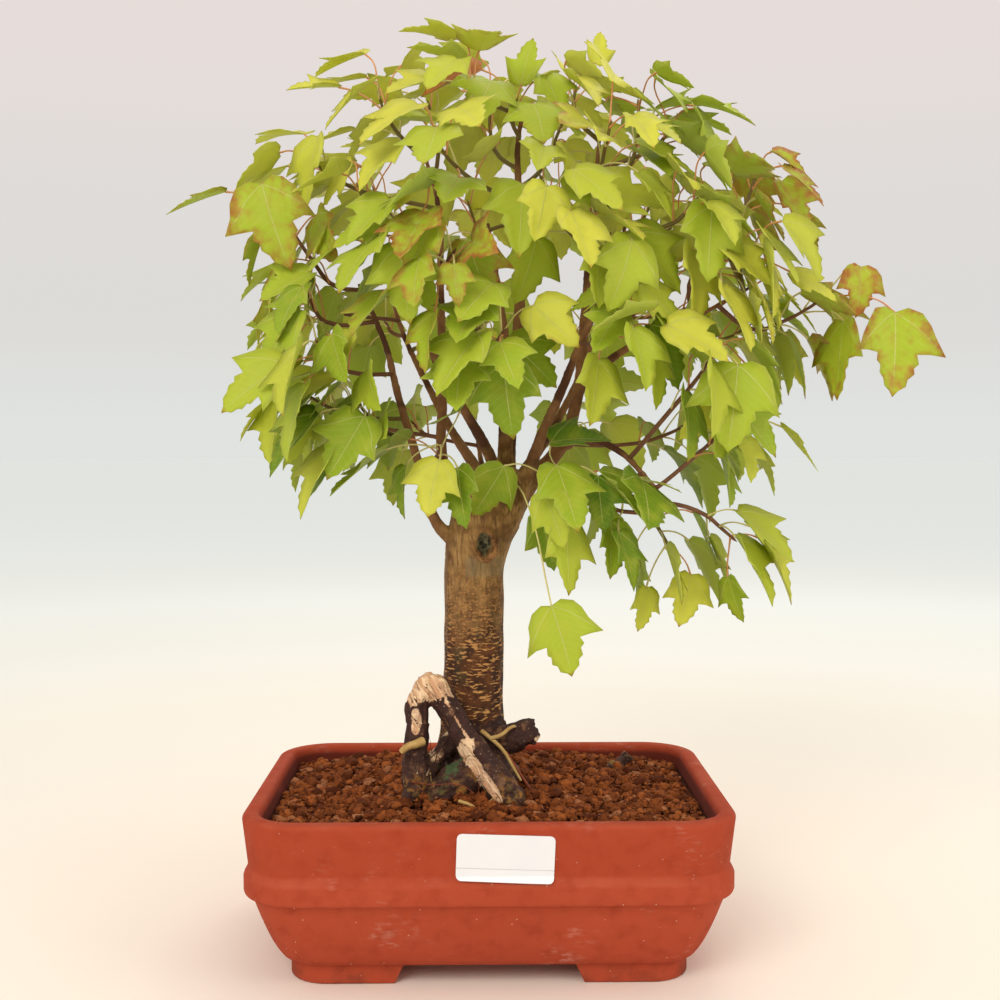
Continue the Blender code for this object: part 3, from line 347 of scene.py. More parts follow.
# %% Tubes along routes
def route_curve(routes, roundness, fineness):
    """A curve object with one tube for each route of (place, radius) stations and its finish number."""
    curve = bpy.data.curves.new("routes", "CURVE")
    curve.dimensions = "3D"
    curve.resolution_u = fineness
    curve.render_resolution_u = 0
    curve.bevel_depth = 1.0
    curve.bevel_resolution = roundness
    curve.use_fill_caps = True
    for _ in range(1 + max(finish_number for _, finish_number in routes)):
        curve.materials.append(None)
    for stations, finish_number in routes:
        spline = curve.splines.new("BEZIER")
        spline.bezier_points.add(len(stations) - 1)
        spline.material_index = finish_number
        for point, (place, radius) in zip(spline.bezier_points, stations):
            point.co = place
            point.radius = radius
            point.handle_left_type = point.handle_right_type = "AUTO"
    made = bpy.data.objects.new("routes", curve)
    bpy.context.scene.collection.objects.link(made)
    return made


# %% [markdown]
# ## The pot
# A real pot like this is pressed in a mould: a low bowl with a rounded lip, a raised band round its
# waist, a full belly under the band and four feet with arches between them. Here the outside is a stack
# of rounded rectangles, each drawn a little further in than the rim. The hollow, the arches and the
# drain holes are cut out of it, and a fine bevel then softens every edge, as firing and handling do.

# %% Pot sizes
RIM_CORNER = 30.0
RIM_ROUND = 3.0
WALL = 9.0
FLOOR = 8.0
FOOT_HEIGHT = 9.5
BASE_INSET = 21.0
BELLY = 0.66
BAND_BOTTOM, BAND_TOP, BAND_PROUD = 45.5, 60.0, 2.2
NECK_INSET = 2.0
FOOT_INSET = 1.5
FOOT_LENGTH, FOOT_DEPTH, ARCH_LEAN = 52.0, 42.0, 7.0
DRAIN_RADIUS, DRAIN_SPACING = 9.0, 110.0
HOLLOW_BEND = 31.1      # the height of the hollow's one extra outline, between the floor and the band
CORNER_TIGHTENS = 0.45  # how much a corner's radius shrinks for each millimetre that an outline is in
CUT_PAST = 5.0          # how far a cutter reaches past what it cuts


def wall_inset(z):
    """How far the plain wall is in from the rim's outline at a height."""
    if z < BAND_BOTTOM:
        share = ((z - FOOT_HEIGHT) / (BAND_BOTTOM - FOOT_HEIGHT)) ** BELLY
        return BASE_INSET + share * (NECK_INSET + BAND_PROUD - BASE_INSET)
    share = (z - BAND_BOTTOM) / (POT_HEIGHT - RIM_ROUND - BAND_BOTTOM)
    return (NECK_INSET + BAND_PROUD) * max(1 - share, 0.0)


def outside(inset, z):
    corner = RIM_CORNER - CORNER_TIGHTENS * inset
    return rounded_outline(POT_LENGTH - 2 * inset, POT_DEPTH - 2 * inset, corner, z)


def inside(extra, z):
    """An outline of the hollow, drawn in by a little extra where something fills it."""
    inset = wall_inset(z) + WALL + extra
    corner = max(RIM_CORNER - WALL - CORNER_TIGHTENS * wall_inset(z) - extra, 4.0)
    return rounded_outline(POT_LENGTH - 2 * inset, POT_DEPTH - 2 * inset, corner, z)


print("wall leans in by", wall_inset(FOOT_HEIGHT), "mm from the band to the base")

# %% Shape the outside of the pot
band_face = wall_inset(BAND_TOP) - BAND_PROUD
outlines = [outside(BASE_INSET + FOOT_INSET + 0.6, 0.0), outside(BASE_INSET + FOOT_INSET, 0.6),
            outside(BASE_INSET + FOOT_INSET, FOOT_HEIGHT), outside(BASE_INSET, FOOT_HEIGHT + 0.6)]
for share in (0.06, 0.14, 0.24, 0.36, 0.5, 0.66, 0.83, 1.0):
    z = FOOT_HEIGHT + share * (BAND_BOTTOM - FOOT_HEIGHT)
    outlines.append(outside(wall_inset(z), z))
for z, inset in ((46.8, band_face + 0.5), (48.5, band_face), (55.3, band_face), (56.8, band_face + 0.4),
                 (60.0, wall_inset(BAND_TOP)), (62.0, wall_inset(62.0)), (72.0, wall_inset(72.0))):
    outlines.append(outside(inset, z))
for turn in (0.0, 22.5, 45.0, 67.5, 90.0):
    angle = math.radians(turn)
    outlines.append(outside(RIM_ROUND * (1 - math.cos(angle)),
                            POT_HEIGHT - RIM_ROUND * (1 - math.sin(angle))))
pot = show("pot_clay", stack(outlines))
print("pot outlines", len(outlines))

# %% Cut the hollow, the arches and the drain holes
floor_z = FOOT_HEIGHT + FLOOR
cutters = [stack([inside(4.0, floor_z), inside(1.2, floor_z + 1.2), inside(0.0, floor_z + 4.0),
                  inside(0.0, HOLLOW_BEND), inside(0.0, BAND_BOTTOM), inside(0.0, POT_HEIGHT - 2.2),
                  inside(-0.7, POT_HEIGHT - 0.7), inside(-3.0, POT_HEIGHT + 0.5)])]
half_span = POT_LENGTH / 2 - BASE_INSET - FOOT_INSET - FOOT_LENGTH
half_depth = POT_DEPTH / 2 - BASE_INSET - FOOT_INSET - FOOT_DEPTH
arch_levels = ((0.0, -CUT_PAST), (ARCH_LEAN, FOOT_HEIGHT))
cutters.append(stack([box_outline(half_span - lean, POT_LENGTH, z) for lean, z in arch_levels]))
cutters.append(stack([box_outline(POT_LENGTH, half_depth - lean, z) for lean, z in arch_levels]))
for side in (-1, 1):
    cutters.append(stack([round_outline(side * DRAIN_SPACING / 2, DRAIN_RADIUS, z)
                          for z in (FOOT_HEIGHT - CUT_PAST, floor_z + CUT_PAST)]))
helpers = []
for mesh in cutters:
    helper = show("cutter", mesh)
    helper.hide_render = True
    cut = pot.modifiers.new("cut", "BOOLEAN")
    cut.solver = "EXACT"
    cut.operation = "DIFFERENCE"
    cut.object = helper
    helpers.append(helper)
soften = pot.modifiers.new("soften", "BEVEL")
soften.width = 0.7 * MM
soften.segments = 2
soften.limit_method = "ANGLE"
soften.angle_limit = math.radians(40.0)
pot_mesh = settled(pot)
for helper in helpers:
    bpy.data.objects.remove(helper)
pot_mesh.shade_smooth()
pot_mesh.set_sharp_from_angle(angle=math.radians(38.0))
print("pot faces", len(pot_mesh.polygons))

# %% [markdown]
# ## Fired clay
# Unglazed red clay is nearly matt. Its colour drifts a little from place to place, edges are rubbed
# paler, water leaves thin white scuffs and specks, and the feet are stained. The pot from the band up is
# darkened as painted shade, and the inner walls carry dirt and painted shade. Each of these is one
# pattern mixed over the last, and the same patterns give a very shallow bump.

# %% Clay finish
clay = Finish("fired_clay", 0.78, 0.22)
height = clay.axis("Z")
tone = clay.mix(clay.noise(70 * MM, 4.0), paint(164, 67, 41), paint(181, 78, 50))
tone = clay.mix(clay.blotches(9 * MM, 6.0, 0.42, 0.8), tone, paint(158, 62, 37))
band_edges = clay.times(clay.step(height, 55 * MM, 57.5 * MM), clay.step(height, 61.5 * MM, 59 * MM))
rubbed = clay.calc("MAXIMUM", clay.step(height, 84 * MM, 86.5 * MM), band_edges)
rubbed = clay.times(rubbed, clay.blotches(16 * MM, 5.0, 0.3, 0.75), 0.4)
tone = clay.mix(rubbed, tone, paint(196, 108, 80))
scratches = clay.blotches(2.2 * MM, 4.0, 0.46, 0.7, clay.stretched(0.35, 0.35, 1.0))
scuff = clay.times(clay.blotches(26 * MM, 6.0, 0.56, 0.74), scratches, 0.42)
tone = clay.mix(scuff, tone, paint(216, 168, 148))
speck = clay.cells(5.5 * MM)
tone = clay.mix(clay.times(clay.step(speck, 0.085, 0.045), 0.5), tone, paint(226, 190, 172))
pit = clay.cells(3.1 * MM, clay.stretched(1.0, 1.0, 1.07))
tone = clay.mix(clay.times(clay.step(pit, 0.08, 0.04), 0.6), tone, paint(92, 38, 26))
stain = clay.times(clay.step(height, 15 * MM, 3 * MM), clay.blotches(18 * MM, 4.0, 0.35, 0.7), 0.62)
tone = clay.mix(stain, tone, paint(112, 58, 42))
# Painted shade: the pot from the band up is darkened, to even out the stronger light that falls on it from
# above.
tone = clay.mix(clay.times(clay.step(height, 44 * MM, 66 * MM), 0.4), tone, paint(152, 54, 27))
# Dirt and painted shade: the inner walls below the rim are darkened in blotches, partly for dirt and partly
# for the shade inside the hollow.
in_hollow = clay.step(clay.attribute("hollow_paint")[0], 0.0, 0.09)
dirt_and_painted_shade = clay.times(in_hollow, clay.blotches(14 * MM, 4.0, 0.0, 0.45), 0.95)
tone = clay.mix(dirt_and_painted_shade, tone, paint(92, 34, 20))
clay.put("Base Color", tone)
clay.put("Roughness", clay.blotches(12 * MM, 3.0, -1.6, 0.9))
grit = clay.bump(clay.noise(1.1 * MM, 3.0), 0.12 * MM)
clay.put("Normal", clay.bump(clay.noise(22 * MM, 2.0), 0.9 * MM, 0.6, grit))
print("clay nodes", len(clay.tree.nodes))

# %% [markdown]
# The dirt and the painted shade of the hollow belong only on the inner walls, so the points there are
# painted.
# A point is in the hollow when it is deeper in from the rim's outline than the wall is thick at its height.

# %% Paint the hollow
HOLLOW_SLACK = 1.5      # a point this near to the inner wall still counts as on it
RIM_CLEAN = 2.5         # the rim itself stays clean

hollow = np.zeros((len(pot_mesh.vertices), 4), np.float32)
for vertex in pot_mesh.vertices:
    from_middle, z = (vertex.co - pot_middle) / MM, vertex.co.z / MM
    past_x = abs(from_middle.x) - (POT_LENGTH / 2 - RIM_CORNER)
    past_y = abs(from_middle.y) - (POT_DEPTH / 2 - RIM_CORNER)
    past_corner = math.hypot(max(past_x, 0.0), max(past_y, 0.0)) + min(max(past_x, past_y), 0.0)
    wall_here = WALL + wall_inset(min(max(z, FOOT_HEIGHT), POT_HEIGHT - RIM_ROUND))
    deep_enough = RIM_CORNER - past_corner > wall_here - HOLLOW_SLACK
    hollow[vertex.index, 0] = deep_enough and FOOT_HEIGHT + 2.0 < z < POT_HEIGHT - RIM_CLEAN
hollow_layer = pot_mesh.attributes.new("hollow_paint", "FLOAT_COLOR", "POINT")
hollow_layer.data.foreach_set("color", hollow.ravel())
pot = show("pot_clay", pot_mesh, clay)
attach(pot, "root")
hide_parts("pot")
print("points in the hollow", int(hollow[:, 0].sum()))

# %% [markdown]
# ## The wood as one grown piece
# Trunk, boughs and roots have no joins: they grew as one. So each is drawn as a tube along its route,
# the closed tubes are melted together by a voxel remesh, and a few rounds of smoothing give the collars
# and crotches that real wood has where one limb leaves another. The routes are the plain model's own,
# except that the foot of the diagonal root comes down a few millimetres nearer to the front.

# %% Routes of the trunk, boughs and roots: (x, y, z, radius) in millimetres
TRUNK_RADIUS = 16.8
TRUNK = ((-9, 5, 70, 1.05), (-9, 5, 86, 1.35), (-9, 5, 100, 1.24), (-9, 5, 114, 1.08), (-9, 5, 132, 1.02),
         (-8, 5, 158, 1.0), (-8, 4, 182, 0.98), (-8, 3, 206, 0.99), (-5, 2, 222, 1.06), (-1, 2, 234, 1.16),
         (4, 2, 246, 1.16), (8, 2, 254, 0.9), (10, 2, 260, 0.5))

BOUGHS = {
    "left_low": ((-12, 1, 212, 5.5), (-21, -2, 221, 4.2), (-29, -4, 230, 3.2), (-38, -10, 262, 2.6),
                 (-49, -16, 300, 2.2), (-55, -20, 325, 1.8), (-68, -30, 356, 1.3)),
    "left_back": ((-8, 5, 226, 6.0), (-18, 11, 242, 4.0), (-25, 16, 260, 3.2), (-26, 22, 301, 2.8),
                  (-27, 28, 359, 2.3), (-29, 32, 411, 1.7), (-36, 36, 436, 1.2)),
    "left_front": ((6, -4, 244, 5.5), (2, -12, 262, 3.4), (-10, -20, 285, 2.8), (-21, -28, 303, 2.4),
                   (-32, -36, 324, 2.1), (-43, -42, 345, 1.7), (-58, -52, 374, 1.2)),
    "centre": ((8, 0, 240, 7.0), (9, -2, 264, 4.4), (10, -4, 296, 3.6), (16, -4, 334, 3.2),
               (17, -2, 397, 2.4), (16, -2, 436, 1.7), (20, -4, 456, 1.2)),
    "centre_back": ((9, 5, 243, 6.0), (12, 14, 264, 3.4), (13, 24, 284, 2.8), (12, 38, 320, 2.2),
                    (6, 50, 365, 1.7), (0, 56, 402, 1.2)),
    "right": ((12, 2, 236, 7.5), (24, 6, 252, 5.2), (40, 8, 271, 4.0), (48, 10, 292, 3.5),
              (53, 12, 336, 2.9), (57, 14, 386, 2.3), (59, 15, 413, 1.8), (62, 14, 444, 1.2)),
    "right_front": ((14, -2, 240, 6.5), (22, -6, 258, 3.8), (29, -12, 278, 3.1), (39, -18, 301, 2.6),
                    (47, -24, 322, 2.2), (60, -34, 352, 1.7), (70, -44, 384, 1.2)),
    "right_low": ((40, 8, 270, 3.2), (52, -6, 275, 2.4), (69, -16, 269, 1.9), (83, -22, 255, 1.6),
                  (97, -26, 238, 1.2)),
    "right_out": ((49, 10, 300, 2.8), (64, 8, 316, 2.4), (86, 2, 330, 2.0), (114, -6, 342, 1.6),
                  (140, -14, 356, 1.2)),
    "back_left": ((2, 6, 240, 6.0), (-8, 22, 260, 3.4), (-20, 40, 278, 2.7), (-34, 56, 304, 2.2),
                  (-52, 70, 342, 1.6), (-60, 76, 372, 1.2)),
    "back_right": ((12, 5, 242, 6.0), (24, 22, 262, 3.4), (38, 42, 282, 2.7), (54, 60, 312, 2.1),
                   (68, 72, 352, 1.5), (74, 76, 378, 1.2)),
    "back_low": ((0, 8, 232, 5.5), (0, 26, 238, 3.2), (0, 46, 246, 2.4), (-4, 70, 262, 1.8),
                 (-8, 88, 286, 1.2)),
}

ROOTS = {
    "loop_leg": ((-33, -23, 146, 5.0), (-37, -23, 137, 6.0), (-38, -24, 122, 6.2), (-39, -26, 106, 6.4),
                 (-39, -28, 92, 7.5), (-38, -28, 76, 6.0)),
    "diagonal": ((-37, -22, 141, 5.2), (-30, -23, 144, 6.4), (-23, -24, 133, 6.6), (-15, -26, 120, 6.8),
                 (-6, -30, 107, 7.4), (3, -34, 96, 8.6), (10, -38, 86, 9.2), (14, -41, 74, 7.0)),
    "low_left": ((-16, -6, 112, 7.0), (-26, -16, 106, 5.0), (-34, -26, 97, 4.6), (-42, -35, 87, 4.4),
                 (-48, -41, 76, 3.6)),
    "stub_right": ((-2, 0, 104, 10.0), (8, -8, 110, 8.2), (17, -12, 114, 7.4), (25, -15, 117, 6.6)),
    "front_mass": ((-30, -28, 80, 8.5), (-18, -30, 92, 9.5), (-6, -24, 96, 11.0), (4, -12, 92, 12.0),
                   (8, 4, 82, 11.0)),
    "rear_right": ((0, 8, 80, 9.0), (26, 24, 72, 5.6), (54, 42, 72, 4.4), (74, 52, 79, 4.2),
                   (84, 56, 87, 3.6)),
    "front_right": ((0, -6, 92, 9.0), (16, -14, 84, 6.5), (32, -20, 74, 4.5)),
    "rear_left": ((-14, 12, 92, 9.0), (-28, 24, 84, 6.0), (-44, 34, 72, 4.0)),
}

# %% Lay the routes out
limbs = [("trunk", "trunk", [(x, y, z, TRUNK_RADIUS * share) for x, y, z, share in TRUNK])]
limbs += [("bough", name, route) for name, route in BOUGHS.items()]
limbs += [("root", name, route) for name, route in ROOTS.items()]
samples = []
for kind, name, route in limbs:
    for low, high in zip(route, route[1:]):
        for share in np.linspace(0.0, 1.0, 9)[:-1]:
            x, y, z, radius = (a + (b - a) * share for a, b in zip(low, high))
            along = (at(*high[:3]) - at(*low[:3])).normalized()
            samples.append((at(x, y, z), radius * MM, kind, name, along))
limb_tree = KDTree(len(samples))
for number, sample in enumerate(samples):
    limb_tree.insert(sample[0], number)
limb_tree.balance()
print("limbs", len(limbs), "samples", len(samples))

# %% Draw the tubes and melt them together
tubes = route_curve([([(at(x, y, z), radius * MM) for x, y, z, radius in route], 0)
                     for _, _, route in limbs], 4, 6)
wood = show("wood_bark", settled(tubes))
melt = wood.modifiers.new("melt", "REMESH")
melt.mode = "VOXEL"
melt.voxel_size = 0.98 * MM
ease = wood.modifiers.new("ease", "SMOOTH")
ease.factor = 0.5
ease.iterations = 5
wood_mesh = settled(wood)
print("wood vertices", len(wood_mesh.vertices))

# %% [markdown]
# ## Knots, scars and what each part of the wood is made of
# Smooth tubes still look like pipes. Each point of the surface is moved a little along its normal: long
# swellings on the trunk, knuckles on the boughs, deep gnarls on the roots, and one pruning scar, which
# is a hollow with a rolled lip. At the same time each point is given paints that the bark finish reads:
# red for wood stripped of its bark, green for root bark, blue for a bough's red-brown bark and alpha for
# moss, and a second set for the scar.

# %% What shapes a point of the wood
SCAR = at(-2.5, -15.0, 218.5)
SCAR_HALF_WIDTH, SCAR_HALF_HEIGHT = 4.4 * MM, 6.4 * MM
STRIPPED_ROOTS = ("loop_leg", "diagonal")
STRIPPED_ABOVE = 134.0      # above this height the bend of those two roots is bare all over
SEAM_FROM = 117.0           # above this height the bare strip of the diagonal root is only a seam
STRIP_FOOT = 82.0           # the height of the strip's lower end
STUB_TORN_FROM = at(19.0, 0, 0).x
MOSS = at(-20.0, -31.0, 102.0)
FORK_SAMPLES = 60           # the last samples of the trunk, up to where the boughs have left it
UPPER_TRUNK = [sample for sample in samples if sample[2] == "trunk"][-FORK_SAMPLES:]


def clamped(value):
    """The value, but not below 0 and not above 1."""
    return min(max(value, 0.0), 1.0)


def cloud(place, size, seed=0.0):
    """A smooth random value from -1 to 1."""
    return noise.noise(place / (size * MM) + Vector((seed, seed, seed)))


def limb_of(place):
    """The limb that a point of the surface belongs to: the nearest one, measured in its own radii."""
    found = limb_tree.find_n(place, 14)
    return min(((distance / samples[number][1], number) for _, number, distance in found))[1]


def swelling(place, grain, kind, rootiness):
    """How far a point is moved out by the wood's own unevenness, in millimetres."""
    move = 0.0
    if kind == "trunk":
        tall = Vector((place.x, place.y, place.z * 0.25))
        move = 0.55 * cloud(place, 15.0) + 0.35 * cloud(tall, 5.0, 3.0)
    elif kind == "bough":
        move = 0.28 * cloud(place, 5.0) + 0.18 * cloud(place, 2.2, 5.0)
    gnarl = 1.4 * cloud(place, 8.0, 9.0) + 1.3 * cloud(grain, 3.4, 2.0) + 0.7 * cloud(grain, 1.6, 4.0)
    return move + rootiness * gnarl


def scar(place, normal, kind):
    """What the pruning scar does to a point: how far it moves, and its paints for hollow, lip and patch."""
    across = (place.x - SCAR.x) / SCAR_HALF_WIDTH
    up = (place.z - SCAR.z) / SCAR_HALF_HEIGHT
    ring = math.hypot(across, up) + 0.2 * cloud(place, 3.5, 5.0)
    move = hollow = lip_paint = patch = 0.0
    if ring < 2.2 and normal.y < -0.2:
        lip = math.exp(-((ring - 1.25) / 0.3) ** 2) * (0.8 + 0.45 * across / max(ring, 0.1) - 0.3 * up)
        move = 2.6 * lip - 3.0 * max(0.0, 1 - ring * 1.02) ** 0.5
        hollow = clamped((1.02 - ring) * 5.0)
        lip_paint = clamped(1.1 * lip - hollow)
    if kind == "trunk" and abs(across) < 2.4 and -3.0 < up < -1.1 and normal.y < 0:
        patch = 0.7 * min(1.0, 1.6 * (1.0 - (up + 2.0) ** 2))
    return move, (hollow, lip_paint, patch)


print("points in the upper trunk", len(UPPER_TRUNK))


# %% Where the bark is gone
def in_strip(z, turned):
    """How far inside the diagonal root's bare strip a point is: wide low down, a thin seam higher up."""
    if z > SEAM_FROM:
        return 0.13 - abs(turned - 0.16)
    middle_of_strip = 0.16 - 0.72 * min((SEAM_FROM - z) / 7.0, 1.0)
    return 0.50 * min((z - STRIP_FOOT) / 12.0, 1.0) - abs(turned - middle_of_strip)


def bareness(place, normal, along, grain, name):
    """How bare of bark a point is, from 0 to 1."""
    x, z = (place.x - pot_middle.x) / MM, place.z / MM
    bare = 0.0
    if name in STRIPPED_ROOTS:
        ragged = 0.3 * cloud(place, 6.0, 4.0) + 0.22 * cloud(grain, 2.0, 6.0)
        bend = STRIPPED_ABOVE + 0.35 * (x + 37.0) + 16.0 * ragged
        facing = -1.0
        if z > bend:
            facing = min(normal.dot(Vector((-0.62, -0.62, 0.2))) + 0.45, 0.2 + (z - bend) * 0.2)
        elif name == "diagonal" and normal.y < 0.1:
            around = (normal - along * normal.dot(along)).normalized()
            facing = in_strip(z, around.dot(Vector((0.78, 0.1, 0.62))))
        bare = clamped((facing + 0.35 * ragged) * 8.0)
    if name == "loop_leg" and normal.y < -0.5:
        patch = math.hypot((x + 38.7) / 3.0, (z - 125.0) / 7.5)
        bare = max(bare, 0.8 * clamped((1.1 - patch + 0.7 * ragged) * 4.0))
    if name == "low_left" and z > 96.0 and normal.z > 0.1:
        bare = max(bare, 0.6 * max(0.0, cloud(place, 6.0, 1.0) + 0.4))
    if name == "stub_right" and place.x > STUB_TORN_FROM and normal.x > 0.55 and z < 114.0:
        bare = max(bare, 0.55)
    return bare


def torn_end(place):
    """The stub was snapped off, so its end is moved about."""
    share = clamped((place.x - STUB_TORN_FROM) / (6.0 * MM))
    return share * (2.4 * cloud(place, 5.0, 7.0) + 1.2 * cloud(place, 2.0, 3.0))


print("stripped roots", STRIPPED_ROOTS)

# %% Carve and paint the wood
normals = [vertex.normal.copy() for vertex in wood_mesh.vertices]
bark_paints = np.zeros((len(normals), 4), np.float32)
scar_paints = np.zeros((len(normals), 4), np.float32)
for vertex, normal in zip(wood_mesh.vertices, normals):
    place = vertex.co.copy()
    _, _, kind, name, along = samples[limb_of(place)]
    grain = place - along * place.dot(along) * 0.75
    rootiness = clamped((108.0 - place.z / MM) / 16.0) if kind == "trunk" else float(kind == "root")
    move, scar_paints[vertex.index, :3] = scar(place, normal, kind)
    bare = bareness(place, normal, along, grain, name)
    move += swelling(place, grain, kind, rootiness) - 0.5 * bare
    if name == "stub_right":
        move += torn_end(place)
    vertex.co = place + normal * move * MM
    boughness = 0.0
    if kind == "bough":
        from_trunk = min((place - sample[0]).length / sample[1] for sample in UPPER_TRUNK)
        boughness = clamped((from_trunk + 0.3 * cloud(place, 6.0) - 1.05) / 0.7)
    mossiness = clamped(1.2 - (place - MOSS).length / (8.5 * MM) + 0.8 * cloud(place, 3.0)) * rootiness
    bark_paints[vertex.index] = (bare, rootiness, boughness, mossiness)
for name, values in (("bark_paint", bark_paints), ("scar_paint", scar_paints)):
    wood_mesh.attributes.new(name, "FLOAT_COLOR", "POINT").data.foreach_set("color", values.ravel())
wood_mesh.shade_smooth()
print("bare points", int((bark_paints[:, 0] > 0.5).sum()), "mossy", int((bark_paints[:, 3] > 0.5).sum()))

# %% [markdown]
# ## Bark
# Low on the trunk the bark is dark brown with rows of short tan dashes, the pores that the tree breathes
# through. Higher up they shrink to dots and the bark turns a greyer, greener tan with fine upright
# streaks. A cloudy pattern that is squeezed flat, nearly five times wider than it is high, makes the
# dashes all the way round the trunk with no seam.

# %% Bark of the trunk
bark = Finish("bark", 0.72, 0.25)
bare, root_share, bough_share, moss_here = bark.attribute("bark_paint")
height = bark.axis("Z")
ragged_height = bark.calc("ADD", height, bark.times(bark.noise(22 * MM), 34 * MM))
high = bark.step(ragged_height, 172 * MM, 222 * MM)
drift = bark.blotches(9 * MM, 6.0, 0.3, 0.7)
base = bark.mix(drift, paint(48, 25, 13), paint(104, 60, 28))
upper = bark.mix(drift, paint(108, 70, 32), paint(184, 142, 86))
streak = bark.blotches(1.6 * MM, 4.0, 0.45, 0.7, bark.stretched(1.0, 1.0, 0.18))
upper = bark.mix(streak, upper, paint(108, 78, 46))
tone = bark.mix(high, base, upper)
dash = bark.blotches(2.1 * MM, 2.0, 0.545, 0.60, bark.stretched(0.46, 0.46, 2.2))
dash = bark.times(dash, bark.blotches(7 * MM, 2.0, 0.32, 0.46), bark.calc("SUBTRACT", 1.0, high))
dots = bark.step(bark.cells(1.7 * MM, bark.stretched(0.8, 0.8, 1.2)), 0.42, 0.2)
dots = bark.times(dots, bark.step(height, 150 * MM, 176 * MM), bark.step(height, 214 * MM, 190 * MM), 0.65)
marks = bark.calc("MAXIMUM", dash, dots)
tone = bark.mix(marks, tone, paint(196, 142, 82))
green_film = bark.times(bark.blotches(13 * MM, 4.0, 0.54, 0.7), 0.2)
tone = bark.mix(green_film, tone, paint(104, 104, 62))
print("nodes for the trunk", len(bark.tree.nodes))

# %% [markdown]
# The boughs are younger, so their bark is redder. The roots have just been lifted out of the soil: they
# are almost black, flecked with lime, and stained ochre and olive where they were last under it.

# %% Bark of the boughs and roots
limb_bark = bark.mix(bark.noise(6 * MM, 5.0), paint(110, 68, 42), paint(174, 126, 84))
limb_bark = bark.mix(bark.blotches(24 * MM, 2.0, 0.5, 0.62), limb_bark, paint(92, 56, 38))
tone = bark.mix(bough_share, tone, limb_bark)
root_bark = bark.mix(bark.noise(5 * MM, 6.0), paint(36, 22, 20), paint(84, 52, 42))
root_bark = bark.mix(bark.blotches(7 * MM, 5.0, 0.56, 0.68), root_bark, paint(120, 84, 58))
fleck = bark.times(bark.blotches(1.4 * MM, 4.0, 0.66, 0.73), 0.85)
root_bark = bark.mix(fleck, root_bark, paint(206, 184, 150))
low_dirt = bark.times(bark.step(height, 106 * MM, 86 * MM), bark.blotches(4 * MM, 4.0, 0.47, 0.62))
ochre = bark.mix(bark.blotches(9 * MM, 3.0, 0.42, 0.58), paint(92, 84, 46), paint(164, 112, 46))
root_bark = bark.mix(low_dirt, root_bark, ochre)
tone = bark.mix(root_share, tone, root_bark)
print("nodes with the roots", len(bark.tree.nodes))

# %% [markdown]
# Where the bark is gone, the dead wood shows its grain: pale lines drawn out along the root, with a few
# dark cracks. Moss and the healed scar are laid over everything else by their paints.

# %% Dead wood, moss and the scar
grain = bark.grained(Vector((0.55, -0.2, -0.8)), 9.0)
dead = bark.mix(bark.blotches(1.8 * MM, 4.0, 0.38, 0.62, grain), paint(208, 158, 118), paint(242, 208, 166))
weathered = bark.times(bark.blotches(6 * MM, 4.0, 0.52, 0.7), 0.6)
dead = bark.mix(weathered, dead, paint(178, 140, 112))
off_crack = bark.calc("ABSOLUTE", bark.calc("SUBTRACT", bark.noise(3.6 * MM, 2.0, grain), 0.5))
crack = bark.times(bark.step(off_crack, 0.022, 0.008), bark.blotches(9 * MM, 3.0, 0.4, 0.55))
dead = bark.mix(crack, dead, paint(70, 44, 34))
tone = bark.mix(bark.step(bare, 0.3, 0.6), tone, dead)
moss = bark.mix(bark.noise(1.5 * MM), paint(40, 52, 32), paint(92, 108, 66))
tone = bark.mix(bark.step(moss_here, 0.35, 0.7), tone, moss)
scar_hollow, scar_lip, scar_patch, _ = bark.attribute("scar_paint")
tone = bark.mix(bark.times(scar_patch, 0.6), tone, paint(138, 126, 92))
lip_tone = bark.mix(bark.blotches(3 * MM, 4.0, 0.35, 0.65), paint(96, 60, 32), paint(172, 122, 72))
tone = bark.mix(scar_lip, tone, lip_tone)
hollow_tone = bark.mix(bark.blotches(3 * MM, 4.0, 0.4, 0.62), paint(44, 40, 26), paint(120, 112, 84))
tone = bark.mix(scar_hollow, tone, hollow_tone)
bark.put("Base Color", tone)
fine = bark.bump(bark.noise(1.3 * MM, 5.0, bark.stretched(1.0, 1.0, 0.6)), 0.8 * MM, 0.9)
bark.put("Normal", bark.bump(marks, 0.4 * MM, 0.8, fine))

wood = show("wood_bark", wood_mesh, bark)
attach(wood, "root")
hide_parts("wood")
print("wood faces", len(wood_mesh.polygons))

# %% [markdown]
# ## Fine roots
# Thin roots hang off the thick ones and vanish into the soil: some dark, some still pale and yellow.
# A few longer ones cross the foot of the trunk. They are tubes too, only much thinner.

# %% Routes of the longer fine roots
# Each has its points in millimetres, its radius and its finish: 0 dark, 1 pale or 2 red.
LONG_FINE_ROOTS = (
    (((-4, -16, 117), (2, -20.5, 113), (7.5, -22.5, 108), (12, -25, 101), (17, -29, 93)), 1.3, 1),
    (((9, -22, 107), (14, -25, 100), (19, -28, 93), (24, -30, 86)), 0.8, 2),
    (((1, -20.5, 114), (6.5, -21.5, 116), (11.5, -19.5, 119.5), (14, -18, 120)), 1.3, 1),
    (((-35, -31, 115), (-39, -34, 114), (-43, -35, 113), (-46.5, -35, 110)), 2.6, 1),
    (((-34, -33, 104), (-26, -36, 112), (-22, -31, 118)), 0.35, 0),
    (((-31, -30, 96), (-27, -28, 110), (-25, -26, 122)), 0.3, 0),
    (((-41, -35, 94), (-30, -40, 94), (-14, -42, 94), (-8, -43, 90)), 0.35, 2),
    (((-16, -50, 88), (-9, -52, 86), (-4, -54, 81)), 1.0, 1))
TAPER = 0.12        # what a long fine root loses of its radius from each point to the next

